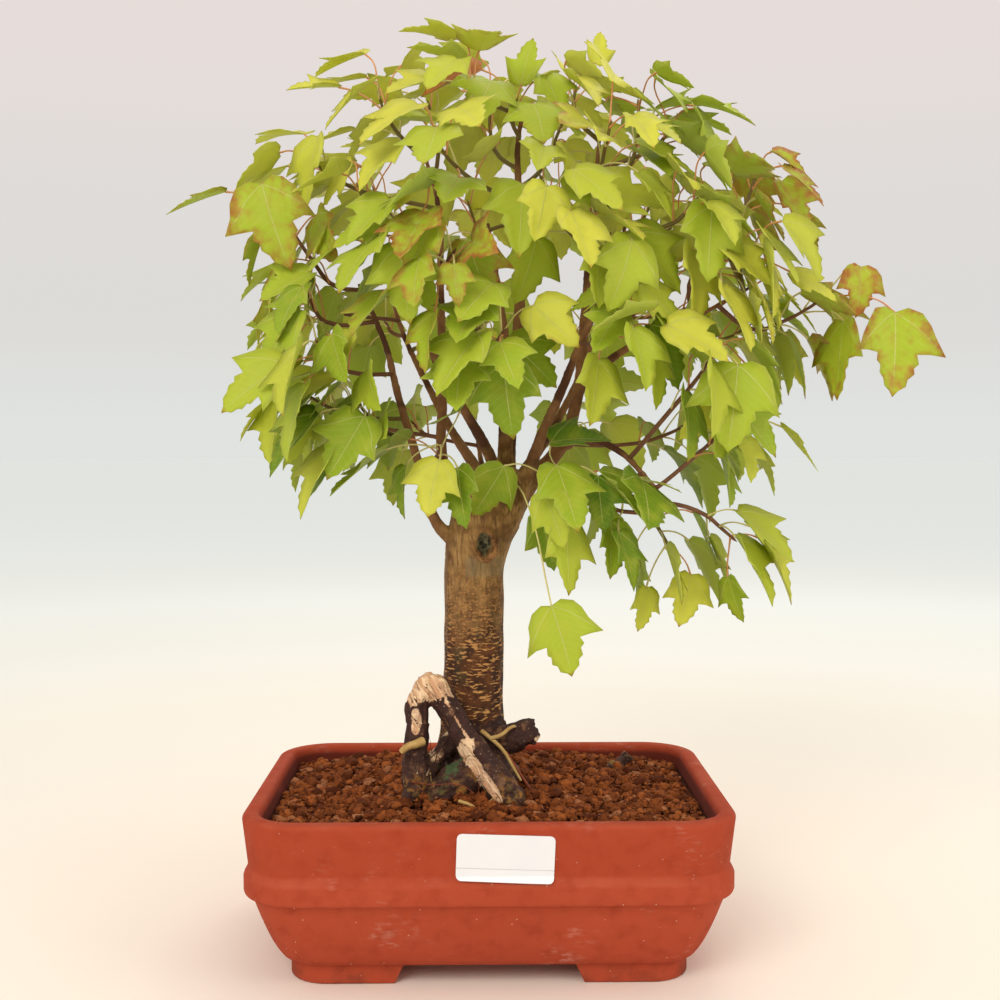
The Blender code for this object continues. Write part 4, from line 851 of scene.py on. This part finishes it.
fine_root_routes = []
for points, radius, finish_number in LONG_FINE_ROOTS:
    stations = [(at(*point), radius * MM * (1.0 - TAPER * index)) for index, point in enumerate(points)]
    fine_root_routes.append((stations, finish_number))
print("long fine roots", len(fine_root_routes))

# %% Grow the short fine roots
SHORT_FINE_ROOTS = 110
HIGHEST_START, LOWEST_START = 112 * MM, 78 * MM

random.seed(41)
low_samples = [s for s in samples if s[2] == "root" and s[3] != "rear_left" and s[0].z < HIGHEST_START]
for _ in range(SHORT_FINE_ROOTS):
    centre, radius, _, _, along = random.choice(low_samples)
    outward = Vector((random.uniform(-1, 1), random.uniform(-1.2, 0.4), random.uniform(-0.6, 0.3)))
    outward = (outward - along * outward.dot(along)).normalized()
    place = centre + outward * radius * 0.9
    if place.z < LOWEST_START:
        continue
    stations = []
    thickness = random.uniform(0.14, 0.38) * MM
    heading = (outward + Vector((0, 0, -0.4)) + 0.5 * along * random.choice((-1, 1))).normalized()
    for _ in range(5):
        stations.append((place.copy(), thickness))
        heading = (heading + Vector((random.uniform(-0.5, 0.5), random.uniform(-0.5, 0.5),
                                     random.uniform(-0.7, 0.15)))).normalized()
        place = place + heading * random.uniform(1.6, 3.4) * MM
        thickness *= 0.82
    fine_root_routes.append((stations, random.choice((0, 0, 0, 1, 2))))
print("fine roots", len(fine_root_routes))


# %% Finishes of the fine roots
def two_toned(name, roughness, specular, size, dark, light, detail=3.0):
    """A plain finish that drifts between two tones."""
    finish = Finish(name, roughness, specular)
    finish.put("Base Color", finish.mix(finish.noise(size, detail), paint(*dark), paint(*light)))
    return finish


dark_root = two_toned("dark_root", 0.8, 0.2, 3 * MM, (34, 22, 18), (82, 52, 38))
pale_root = two_toned("pale_root", 0.7, 0.2, 4 * MM, (150, 108, 52), (214, 182, 116))
red_root = two_toned("red_root", 0.6, 0.3, 4 * MM, (96, 40, 22), (150, 74, 40))
fine_roots = show("fine_roots", settled(route_curve(fine_root_routes, 1, 3)), dark_root, pale_root, red_root)
fine_roots.data.shade_smooth()
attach(fine_roots, "root")
print("fine root faces", len(fine_roots.data.polygons))

# %% [markdown]
# ## Soil
# The pot is filled with baked clay granules, sifted to a few millimetres and raked up to the trunk. A
# closed bed takes the place of the plain one, and thousands of crumbs lie on it. A crumb is a rough
# ball: most have only twenty faces, because they are small and there are so many, and the larger ones
# on top have eighty. Every crumb has a tone of its own.

# %% Soil bed
SOIL_BELOW_RIM, SOIL_CROWN, SOIL_MOUND = 10.0, 7.0, 12.0
MOUND_X, MOUND_Y = -9.0, 5.0        # the middle of the mound is the trunk's foot
MOUND_REACH_X, MOUND_REACH_Y = 42.0, 36.0
BED_SUNK = 1.4          # the bed's top is this much under the crumbs' middle


def soil_height(x, y):
    half = POT_LENGTH / 2 - WALL
    bed = POT_HEIGHT - SOIL_BELOW_RIM + SOIL_CROWN * math.cos(0.5 * math.pi * min(abs(x) / half, 1.0))
    off_x, off_y = (x - MOUND_X) / MOUND_REACH_X, (y - MOUND_Y) / MOUND_REACH_Y
    mound = SOIL_MOUND * math.exp(-off_x ** 2 - off_y ** 2)
    return bed + mound + 0.5 * math.sin(0.19 * x + 0.4) * math.cos(0.23 * y)


top = inside(0.4, POT_HEIGHT - SOIL_BELOW_RIM)
levels = [inside(4.6, floor_z + 0.3), inside(0.6, floor_z + 4.3), inside(0.6, HOLLOW_BEND),
          inside(0.6, BAND_BOTTOM)]
for share in (1.0, 0.94, 0.87, 0.79, 0.7, 0.6, 0.5, 0.4, 0.3, 0.2, 0.1, 0.02):
    ring = []
    for point in top:
        x, y = (point.x - pot_middle.x) / MM * share, (point.y - pot_middle.y) / MM * share
        ring.append(at(x, y, soil_height(x, y) - BED_SUNK + 0.5 * cloud(at(x, y, 0), 4.0)))
    levels.append(ring)
bed_mesh = stack(levels)
bed_mesh.shade_smooth()
print("bed outlines", len(levels))

# %% Soil finish
earth = Finish("baked_clay_granules", 0.92, 0.15)
crumb_tone, crumb_pale = earth.attribute("crumb_paint")[:2]
soil_tone = earth.mix(crumb_tone, paint(80, 36, 14), paint(160, 88, 40))
soil_tone = earth.mix(earth.times(crumb_pale, 0.7), soil_tone, paint(178, 118, 78))
soil_tone = earth.mix(earth.blotches(2.4 * MM, 5.0, 0.45, 0.75), soil_tone, paint(74, 32, 14))
earth.put("Base Color", soil_tone)
earth.put("Normal", earth.bump(earth.noise(1.2 * MM, 4.0), 1.0 * MM))

bed = show("soil_bed", bed_mesh, earth)
bed_paint = bed_mesh.attributes.new("crumb_paint", "FLOAT_COLOR", "POINT")
bed_paint.data.foreach_set("color", np.tile((0.0, 0.0, 0.0, 1.0), len(bed_mesh.vertices)))
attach(bed, "root")
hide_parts("soil")
print("bed faces", len(bed_mesh.polygons))


# %% One crumb
def add_crumb(shape, painted, place, radius, detail, count):
    """A squat, rough ball with a tone of its own."""
    turn = Matrix.Rotation(random.uniform(0, 6.28), 4, "Z") @ Matrix.Rotation(random.uniform(0, 6.28), 4, "X")
    squat = Matrix.Diagonal((random.uniform(0.8, 1.25), random.uniform(0.8, 1.15),
                             random.uniform(0.65, 0.95), 1.0))
    ball = bmesh.ops.create_icosphere(shape, subdivisions=detail, radius=radius * MM,
                                      matrix=Matrix.Translation(place) @ squat @ turn)
    tone = (random.random(), float(random.random() > 0.93), 0.0, 1.0)
    for vertex in ball["verts"]:
        rough = cloud(vertex.co, radius * 0.9, count * 0.7) + 0.7 * cloud(vertex.co, radius * 0.45)
        vertex.co += (vertex.co - place) * 0.5 * rough
        vertex[painted] = tone


# %% Scatter the crumbs
OFF_WALL = 3.2          # how far inside the wall the grid of crumbs ends
PAST_GRID = 1.8         # how far a crumb may reach past the grid's end
CORNER_SLACK = 2.0      # how much tighter the crumbs' corner is than the hollow's


def scatter(name, spacing, small, large, detail, lift, keep, seed):
    """Crumbs on a loose grid over the bed, clear of the pot's wall and of the wood."""
    random.seed(seed)
    shape = bmesh.new()
    painted = shape.verts.layers.float_color.new("crumb_paint")
    half_x, half_y = POT_LENGTH / 2 - WALL - OFF_WALL, POT_DEPTH / 2 - WALL - OFF_WALL
    corner = RIM_CORNER - WALL - CORNER_SLACK
    count = 0
    for row in range(int(2 * half_y / spacing)):
        for column in range(int(2 * half_x / spacing)):
            x = -half_x + (column + random.uniform(0.0, 1.0)) * spacing
            y = -half_y + (row + random.uniform(0.0, 1.0)) * spacing
            radius = random.uniform(small, large) * random.uniform(0.8, 1.0)
            over_x = max(abs(x) + radius - (half_x + PAST_GRID - corner), 0.0)
            over_y = max(abs(y) + radius - (half_y + PAST_GRID - corner), 0.0)
            if random.random() > keep or math.hypot(over_x, over_y) > corner:
                continue
            place = at(x, y, soil_height(x, y) + lift + random.uniform(-0.5, 0.4) * radius)
            _, number, gap = limb_tree.find(place)
            if gap >= samples[number][1] - 0.2 * radius * MM:
                add_crumb(shape, painted, place, radius, detail, count)
                count += 1
    mesh = bpy.data.meshes.new(name)
    shape.to_mesh(mesh)
    shape.free()
    mesh.shade_smooth()
    mesh.set_sharp_from_angle(angle=math.radians(48.0))
    made = show(name, mesh, earth)
    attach(made, "root")
    print(name, count, "crumbs", len(mesh.polygons), "faces")


scatter("soil_crumbs", 3.5, 1.5, 2.7, 1, -0.5, 1.0, 5)
scatter("soil_lumps", 6.2, 2.3, 3.9, 2, 0.5, 0.8, 6)
scatter("soil_grit", 4.4, 0.6, 1.3, 1, 1.2, 0.8, 7)

# %% [markdown]
# ## Reading the shoots
# The plain model has each leaf as a thin plate on a straight stalk. The plates are all the same
# thickness, so the edges of exactly that length pick them out, and the points of one plate hang together.
# From each plate come five facts: where its stalk leaves the twig, where the blade starts, which way it
# points, which way its upper side faces, and how long it is. What is left over is the twig, read ring by
# ring from its lower end.

# %% Walk along edges
PLATE = 0.55 * MM
TIP_DROP = 0.08         # how far a plate's tip hangs below its middle, as a share of its length


def connected(start, allowed):
    """All points that can be reached along edges without leaving the allowed ones."""
    found, still_to_follow = {start}, [start]
    while still_to_follow:
        for edge in still_to_follow.pop().link_edges:
            for vertex in edge.verts:
                if vertex in allowed and vertex not in found:
                    found.add(vertex)
                    still_to_follow.append(vertex)
    return found


def middle(vertices):
    return sum((vertex.co for vertex in vertices), Vector()) / len(vertices)


print("plates are", round(PLATE / MM, 2), "mm thick")


# %% Read one leaf
def read_leaf(plate, thin, stem_points):
    """A leaf's stalk foot, blade base, heading, upper side's normal and length."""
    touching = {edge.other_vert(v) for v in plate for edge in v.link_edges} & stem_points
    collar = [v for v in plate if any(edge.other_vert(v) in stem_points for edge in v.link_edges)]
    base = middle(collar)
    pairs = sorted((edge for edge in thin if edge.verts[0] in plate),
                   key=lambda edge: (middle(edge.verts) - base).length)
    tip_edge = pairs[-1]
    tip = middle(tip_edge.verts)
    normal = (tip_edge.verts[1].co - tip_edge.verts[0].co).normalized()
    line = (tip - base).normalized()
    lobes = sorted(pairs, key=lambda edge: (middle(edge.verts) - base).cross(line).length)[-2:]
    lift = sum((middle(edge.verts) - base).dot(normal) for edge in lobes) / 2
    if lift < (tip - base).dot(normal):
        normal.negate()
    length = (tip - base).length / math.sqrt(1 + TIP_DROP ** 2)
    heading = ((tip - base) / length + TIP_DROP * normal).normalized()
    return middle(list(touching)), base, heading, normal, length


def read_twig(shape, stem_points):
    """The twig's line of points, ring by ring from the flat end where no leaf is near."""
    plain = {v for v in stem_points if all(e.other_vert(v) in stem_points for e in v.link_edges)}
    ends = []
    for edge in shape.edges:
        if len(edge.link_faces) == 2:
            first, second = edge.link_faces
            corners = set(first.verts) | set(second.verts)
            if corners <= plain and first.normal.dot(second.normal) > 0.999:
                spread = sum((v.co - middle(list(corners))).length for v in corners)
                ends.append((spread, len(ends), corners))
    ring = min(ends)[2]
    seen, line = set(), []
    while ring:
        seen |= ring
        line.append(middle(list(ring)))
        ring = {edge.other_vert(v) for v in ring for edge in v.link_edges} & stem_points - seen
    return line


def read_shoot(node):
    """The twig's line of points and the leaves of one plain shoot."""
    shape = bmesh.new()
    shape.from_mesh(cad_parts[node].data)
    bmesh.ops.remove_doubles(shape, verts=shape.verts[:], dist=0.002 * MM)
    thin = [edge for edge in shape.edges if abs(edge.calc_length() - PLATE) < 0.02 * MM]
    plate_points = {vertex for edge in thin for vertex in edge.verts}
    stem_points = {vertex for vertex in shape.verts if vertex not in plate_points}
    leaves, left = [], set(plate_points)
    while left:
        plate = connected(min(left, key=lambda vertex: vertex.index), plate_points)
        left -= plate
        leaves.append(read_leaf(plate, thin, stem_points))
    line = read_twig(shape, stem_points)
    shape.free()
    return line, leaves


shoots = {node: read_shoot(node) for node in sorted(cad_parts) if node.startswith("shoot_")}
print("shoots", len(shoots), "leaves", sum(len(leaves) for _, leaves in shoots.values()))

# %% [markdown]
# ## One leaf, drawn flat
# Every leaf of this maple has the same plan: a rounded base, two side lobes that point forwards and a
# long middle lobe. The leaf is drawn once, one unit long, as a grid whose rows run from the base to the
# tip. The ends of the rows follow the outline and the middle column follows the midrib. The grid then
# gets a thickness. Its flat plan is kept as a UV map, so that veins can be drawn on it, and how near a
# point is to the margin is kept as an attribute.

# %% The flat leaf
LEAF_ROWS = (((0.0, 0.0), 0.0), ((0.14, -0.045), 0.05), ((0.28, 0.03), 0.12), ((0.37, 0.17), 0.21),
             ((0.41, 0.34), 0.31), ((0.50, 0.56), 0.41), ((0.36, 0.52), 0.47), ((0.225, 0.52), 0.54),
             ((0.25, 0.63), 0.61), ((0.2, 0.67), 0.67), ((0.21, 0.76), 0.74), ((0.145, 0.81), 0.81),
             ((0.125, 0.89), 0.88), ((0.05, 0.935), 0.94), ((0.0, 1.0), 1.0))
LEAF_COLUMNS = 4
LEAF_THICKNESS = 0.009      # as a share of the leaf's length
HALF_WIDTH = 0.5            # of the leaf at its lobes, so the midrib is at this U in the UV map

flat = bmesh.new()
bmesh.ops.create_grid(flat, x_segments=LEAF_COLUMNS, y_segments=len(LEAF_ROWS) - 1, size=1.0)
edge_layer = flat.verts.layers.float.new("leaf_edge")
for vertex in flat.verts:
    column = vertex.co.x
    (edge_x, edge_y), rib_y = LEAF_ROWS[round((vertex.co.y + 1) / 2 * (len(LEAF_ROWS) - 1))]
    vertex[edge_layer] = abs(column)
    vertex.co = Vector((edge_x * column, rib_y + (edge_y - rib_y) * column ** 2, 0.0))
bmesh.ops.remove_doubles(flat, verts=flat.verts[:], dist=0.001)
plan = flat.loops.layers.uv.new("plan")
for face in flat.faces:
    for loop in face.loops:
        loop[plan].uv = (loop.vert.co.x + HALF_WIDTH, loop.vert.co.y)
bmesh.ops.solidify(flat, geom=flat.faces[:], thickness=LEAF_THICKNESS)
bmesh.ops.recalc_face_normals(flat, faces=flat.faces[:])
flat.verts.layers.float_color.new("leaf_paint")
lowest = min(vertex.co.z for vertex in flat.verts)
highest = max(vertex.co.z for vertex in flat.verts)
for vertex in flat.verts:
    vertex.co.z -= (lowest + highest) / 2
flat_leaf = bpy.data.meshes.new("flat_leaf")
flat.to_mesh(flat_leaf)
flat.free()
print("leaf faces", len(flat_leaf.polygons), "thickness", round(highest - lowest, 4))

# %% [markdown]
# ## Leaf finish
# A leaf lets light through, so its Principled shader is mixed with a Translucent one. The pale midrib
# and side veins are drawn by distance from their lines in the flat plan; finer veins are a sawtooth
# along the midrib. Each leaf carries paint of its own: red for how yellow it is, partly turned and partly
# painted light, green for how bronze, blue for a random number, and alpha for which side of the blade it is.

# %% Colours of the blade
leaf = Finish("maple_leaf", 0.5, 0.26)
flat_plan = leaf.add("ShaderNodeUVMap", {"uv_map": "plan"}).outputs["UV"]
aside = leaf.calc("ABSOLUTE", leaf.calc("SUBTRACT", leaf.axis("X", flat_plan), HALF_WIDTH))
forwards = leaf.axis("Y", flat_plan)
yellow, bronze, chance, upper_side = leaf.attribute("leaf_paint")
margin = leaf.add("ShaderNodeAttribute", {"attribute_name": "leaf_edge"}).outputs["Fac"]
shift = leaf.add("ShaderNodeCombineXYZ", inputs={2: chance}).outputs[0]
shifted = leaf.add("ShaderNodeVectorMath", {"operation": "ADD"}, {0: leaf.place, 1: shift}).outputs[0]
blotch = leaf.noise(9 * MM, 3.0, shifted)
# The yellow paint is partly painted light: leaves high and outside in the crown come out lighter, and inner
# ones darker as painted shade.
tone = leaf.mix(leaf.step(yellow, 0.0, 0.45), paint(96, 138, 26), paint(182, 202, 54))
tone = leaf.mix(leaf.step(yellow, 0.4, 0.9), tone, paint(232, 228, 88))
tone = leaf.mix(leaf.times(leaf.step(blotch, 0.4, 0.75), 0.45), tone, paint(204, 204, 72))
print("nodes for the blade", len(leaf.tree.nodes))

# %% Veins
LOBE_X, LOBE_Y = 0.66, 0.75     # the side vein's direction in the flat plan
VEIN_SLANT = 0.75               # how steeply the fine veins leave the midrib
FINE_VEINS = 10.0
BOW_LENGTH, BOW = 0.74, 0.22    # the side veins are a little bowed

sawtooth = leaf.times(leaf.calc("SUBTRACT", forwards, leaf.times(aside, VEIN_SLANT)), FINE_VEINS)
between_veins = leaf.calc("PINGPONG", sawtooth, 0.5)
fine_vein = leaf.times(leaf.step(between_veins, 0.07, 0.0), leaf.step(forwards, 0.06, 0.16), 0.28)
tone = leaf.mix(fine_vein, tone, paint(222, 226, 128))
along_lobe = leaf.calc("ADD", leaf.times(aside, LOBE_X), leaf.times(forwards, LOBE_Y))
off_lobe = leaf.calc("SUBTRACT", leaf.times(aside, LOBE_Y), leaf.times(forwards, LOBE_X))
bowed = leaf.times(along_lobe, leaf.calc("SUBTRACT", BOW_LENGTH, along_lobe), BOW)
off_lobe = leaf.calc("ABSOLUTE", leaf.calc("SUBTRACT", off_lobe, bowed))
side_vein = leaf.times(leaf.step(off_lobe, 0.011, 0.003), leaf.step(along_lobe, 0.72, 0.5))
midrib = leaf.times(leaf.step(aside, 0.012, 0.004), leaf.step(forwards, 0.99, 0.6))
veins = leaf.calc("MAXIMUM", midrib, side_vein)
tone = leaf.mix(leaf.times(veins, 0.65), tone, paint(226, 226, 138))
tone = leaf.mix(leaf.times(leaf.step(margin, 0.88, 1.0), 0.4), tone, paint(206, 206, 108))
print("nodes with the veins", len(leaf.tree.nodes))

# %% Bronze, burnt tips and the light that comes through
outer = leaf.calc("MAXIMUM", leaf.step(margin, 0.4, 1.0), leaf.step(forwards, 0.5, 1.0))
turned = leaf.times(leaf.calc("MULTIPLY_ADD", outer, 0.4, bronze), leaf.noise(5 * MM, 4.0, shifted))
rust = leaf.mix(leaf.noise(7 * MM, 3.0, shifted), paint(170, 84, 36), paint(214, 142, 84))
scorched = leaf.times(leaf.step(turned, 0.3, 0.85), leaf.step(bronze, 0.0, 0.3))
tone = leaf.mix(scorched, tone, rust)
tip_burn = leaf.times(leaf.step(forwards, 0.9, 1.0), leaf.step(chance, 0.35, 0.8), 0.7)
tone = leaf.mix(tip_burn, tone, paint(176, 112, 48))
below = leaf.mix(0.4, tone, paint(176, 190, 116))
tone = leaf.mix(upper_side, below, tone)
leaf.put("Base Color", tone)
relief = leaf.calc("ADD", veins, leaf.times(blotch, 0.6))
leaf.put("Normal", leaf.bump(relief, 0.35 * MM, 0.6))
glow_tone = leaf.mix(0.4, tone, paint(228, 240, 70))
glow = leaf.add("ShaderNodeBsdfTranslucent", inputs={"Color": glow_tone})
through = leaf.add("ShaderNodeMixShader", inputs={0: 0.38, 1: leaf.shader.outputs[0], 2: glow.outputs[0]})
leaf.join(through.outputs[0], leaf.tree.nodes["Material Output"].inputs["Surface"])
print("leaf nodes", len(leaf.tree.nodes))

# %% Finishes of twigs and stalks
stem_green = two_toned("young_twig", 0.5, 0.3, 8 * MM, (112, 118, 48), (122, 74, 44))
stem_brown = two_toned("older_twig", 0.6, 0.3, 5 * MM, (92, 54, 36), (142, 98, 66), 4.0)
stalk_red = two_toned("red_stalk", 0.45, 0.4, 12 * MM, (212, 120, 84), (206, 164, 96))
stalk_cream = two_toned("cream_stalk", 0.45, 0.4, 12 * MM, (196, 188, 104), (222, 206, 138))
SHOOT_FINISHES = (stem_green, stem_brown, stalk_red, stalk_cream, leaf)
GREEN_TWIG, BROWN_TWIG, RED_STALK, CREAM_STALK, BLADE = range(len(SHOOT_FINISHES))
print("shoot finishes", [finish.made.name for finish in SHOOT_FINISHES])

# %% [markdown]
# ## Growing the shoots
# On each twig the leaves stand in pairs. A stalk leaves the twig, bows a little and meets its blade from
# behind; the blade is a copy of the flat leaf, folded along the midrib, drooping towards its tip and
# gently waved, so no two are alike. Leaves near the top and the outside are yellower and those inside a
# deeper green: partly the colour they have turned, partly painted light outside and painted shade inside.
# Some of the named shoots have turned bronze.

# %% The twig and its stalks
HANGING = "shoot_hanging_leaf"      # this one has a long stalk of its own and no twig
STALK_RADIUS = 0.48 * MM
STALK_SIZES = (1.35, 0.95, 0.9, 1.25)       # a stalk swells at both ends
NEAR_WOOD = 25 * MM         # a twig that starts this near to a limb grows out of it


def curved(first, leaving, arriving, last, reach):
    """Four stations of a bowed line that leaves and arrives along given directions."""
    second, third = first + leaving * reach, last - arriving * reach
    places = []
    for share in (0.0, 0.3, 0.68, 1.0):
        rest = 1.0 - share
        places.append(rest ** 3 * first + 3 * rest ** 2 * share * second
                      + 3 * rest * share ** 2 * third + share ** 3 * last)
    return places


def twig_route(line):
    """A twig that grows out of the nearest limb, thins from joint to joint and ends in a bud."""
    foot = limb_tree.find(line[0])[0]
    grown = [(foot, 1.5 * MM)] if (foot - line[0]).length < NEAR_WOOD else []
    joints = [line[0]] + [(line[i] + line[i + 1]) / 2 for i in range(1, len(line) - 1, 2)]
    for index, joint in enumerate(joints):
        grown.append((joint, (1.35 - 0.65 * index / len(joints)) * MM))
    ahead = (joints[-1] - joints[-2]).normalized()
    grown += [(joints[-1] + ahead * 1.6 * MM, 0.85 * MM), (joints[-1] + ahead * 4.2 * MM, 0.15 * MM)]
    young = joints[-1].z > 400 * MM or random.random() < 0.4
    return grown, GREEN_TWIG if young else BROWN_TWIG


def hanging_route(line, blade_base):
    """The long stalk of the leaf that hangs from the fork, thinning from its foot."""
    joints = line[:-1]
    random.random()     # keeps in step with a twig, which draws one number here
    return [(joint, STALK_RADIUS * 1.15) for joint in joints] + [(blade_base, STALK_RADIUS)], CREAM_STALK


def stalk_route(root, base, heading, top):
    straight = (base - root).normalized()
    leaving = (straight + 0.35 * UP).normalized()
    arriving = (heading + straight * 0.8).normalized()
    stalk = curved(root, leaving, arriving, base, 0.34 * (base - root).length)
    kind = RED_STALK if random.random() < 0.2 + 0.5 * top else CREAM_STALK
    return [(place, STALK_RADIUS * size) for place, size in zip(stalk, STALK_SIZES)], kind


print("stalks are about", round(2 * STALK_RADIUS / MM, 2), "mm thick")

# %% The paint of a leaf
BRONZE = {"shoot_bronze_tip": 1.6, "shoot_upper_right_tip": 0.9, "shoot_long_right": 0.9,
          "shoot_front_bronze": 0.85, "shoot_long_left": 0.75, "shoot_top_right": 0.3,
          "shoot_right_shoulder": 0.25, "shoot_front_left_high": 0.25}
CROWN_MIDDLE = at(10.0, 0.0, 330.0)


def leaf_tones(node, base, highest, top):
    """How yellow and how bronze a leaf is, and a random number, all from 0 up to about 1."""
    outer = clamped(((base - CROWN_MIDDLE).length / MM - 60.0) / 110.0)
    # Partly painted light: the yellow share rises towards the top and the outside of the crown, where light
    # falls, so lower and inner leaves stay a deeper green as painted shade; the rest is the leaves' own
    # turning and chance.
    yellow = clamped(0.14 + 0.40 * outer + 0.48 * top + random.gauss(0.0, 0.18))
    bronze = BRONZE.get(node, 0.0) * random.uniform(0.7, 1.2)
    if node == "shoot_bronze_tip" and base.z < highest:
        bronze *= 0.2
    if bronze:
        yellow = min(yellow, 0.5)
    elif random.random() < 0.08 and top > 0.25:
        yellow, bronze = 0.8, random.uniform(0.3, 0.7)
    return yellow, bronze, random.random()


print("bronze shoots", len(BRONZE))


# %% Bend one blade
noise.seed_set(3)       # noise_vector starts from the clock unless it is given a seed


def lifted(base, heading, normal):
    """The blades at the top of the crown reach out and up towards the light."""
    outwards = Vector((base.x - CROWN_MIDDLE.x, base.y - CROWN_MIDDLE.y, 0.0)).normalized()
    heading = (heading + random.uniform(0.1, 0.75) * (0.6 * outwards + 0.6 * UP)).normalized()
    return heading, (normal - heading * normal.dot(heading)).normalized()


def add_blade(shape, base, heading, normal, length, tones):
    """A copy of the flat leaf: folded along its midrib, drooping, waved, bent and twisted."""
    normal = Matrix.Rotation(random.uniform(-0.3, 0.3), 3, heading) @ normal
    right = heading.cross(normal).normalized()
    fold = random.uniform(0.08, 0.42)
    droop = random.uniform(0.03, 0.24)
    wave, phase = random.uniform(0.012, 0.045), random.uniform(0.0, 6.28)
    bend, twist = random.uniform(-0.07, 0.07), random.uniform(-0.2, 0.2)
    broad = random.uniform(0.84, 1.08)
    ragged = Vector((random.uniform(0, 90), random.uniform(0, 90), 0.0))
    first = len(shape.verts)
    shape.from_mesh(flat_leaf)
    shape.verts.ensure_lookup_table()
    painted = shape.verts.layers.float_color["leaf_paint"]
    for vertex in shape.verts[first:]:
        x, y, thick = vertex.co
        uneven = noise.noise_vector(Vector((x, y, 0.0)) * 11.0 + ragged) * 0.045 * min(2.2 * abs(x), 1.0)
        x, y = x + uneven.x, y + uneven.y
        waved = wave * math.sin(9.0 * y + phase + 4.0 * x) * abs(x) * 2.2
        lobes_down = 0.35 * droop * max(abs(x) - 0.3, 0.0)
        lift = fold * abs(x) - droop * y * y + twist * x * y + thick + waved - lobes_down
        vertex.co = base + length * (right * (x * broad + bend * y * y) + heading * y + normal * lift)
        vertex[painted] = (*tones, float(thick > 0))


print("points in a flat leaf", len(flat_leaf.vertices))


# %% Grow one shoot
def grow(node, line, leaves):
    random.seed(node)
    hangs = node == HANGING
    routes = [hanging_route(line, leaves[0][1]) if hangs else twig_route(line)]
    highest = max(leaf_facts[1].z for leaf_facts in leaves)
    shape = bmesh.new()
    for root, base, heading, normal, length in leaves:
        top = clamped((base.z / MM - 250.0) / 190.0)
        tones = leaf_tones(node, base, highest, top)
        if not hangs:
            routes.append(stalk_route(root, base, heading, top))
        if node.startswith(("shoot_top", "shoot_high")):
            heading, normal = lifted(base, heading, normal)
        add_blade(shape, base, heading, normal, length, tones)
    blades = bpy.data.meshes.new(node)
    shape.to_mesh(blades)
    shape.free()
    for face in blades.polygons:
        face.material_index = BLADE
    blades.shade_smooth()
    stems = settled(route_curve(routes, 1, 4))
    stems.shade_smooth()
    both = bmesh.new()
    both.from_mesh(stems)
    both.from_mesh(blades)
    mesh = bpy.data.meshes.new(node)
    both.to_mesh(mesh)
    both.free()
    made = show(node + "_leaves", mesh, *SHOOT_FINISHES)
    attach(made, "root")
    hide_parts(node)
    return len(mesh.polygons)


# %% Grow all the shoots
print("shoot faces", sum(grow(node, *shoots[node]) for node in shoots))

# %% [markdown]
# ## Label, drain nets and wire
# The plain pieces already have the right shape, so they only get finishes. The label is smooth white
# paper with nothing on it but a faint ruled edge. The nets under the drain holes are black plastic, and
# the wire that holds each one is drawn aluminium.

# %% Finishes for the plain pieces
RULE_SLANT = 0.035      # the ruled line was cut a little askew
RULE_BELOW_MIDDLE = 6.5 * MM

paper = Finish("label_paper", 0.42, 0.4)
ruled = paper.calc("ADD", paper.axis("Z"), paper.times(paper.axis("X"), RULE_SLANT))
rule_z = sum(corner.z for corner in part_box("label")) / 2 - RULE_BELOW_MIDDLE
rule = paper.step(paper.calc("ABSOLUTE", paper.calc("SUBTRACT", ruled, rule_z)), 0.28 * MM, 0.16 * MM)
sheet_tone = paper.mix(paper.noise(20 * MM, 3.0), paint(226, 229, 232), paint(238, 239, 239))
paper.put("Base Color", paper.mix(paper.times(rule, 0.35), sheet_tone, paint(120, 122, 126)))
net = two_toned("black_plastic", 0.55, 0.4, 3 * MM, (22, 22, 23), (38, 37, 36))
wire = two_toned("drawn_wire", 0.35, 0.5, 2 * MM, (150, 142, 134), (186, 180, 172))
wire.put("Metallic", 1.0)
for node, finish in (("label", paper), ("drain_mesh_left", net), ("drain_mesh_right", net),
                     ("mesh_clip_left", wire), ("mesh_clip_right", wire)):
    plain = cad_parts[node].data
    plain.materials.clear()
    plain.materials.append(finish.made)
    print(node, finish.made.name)

# %% [markdown]
# ## How far the pieces reach
# The pieces may stand a little outside the plain model, as real leaves and bark do, but not by much.
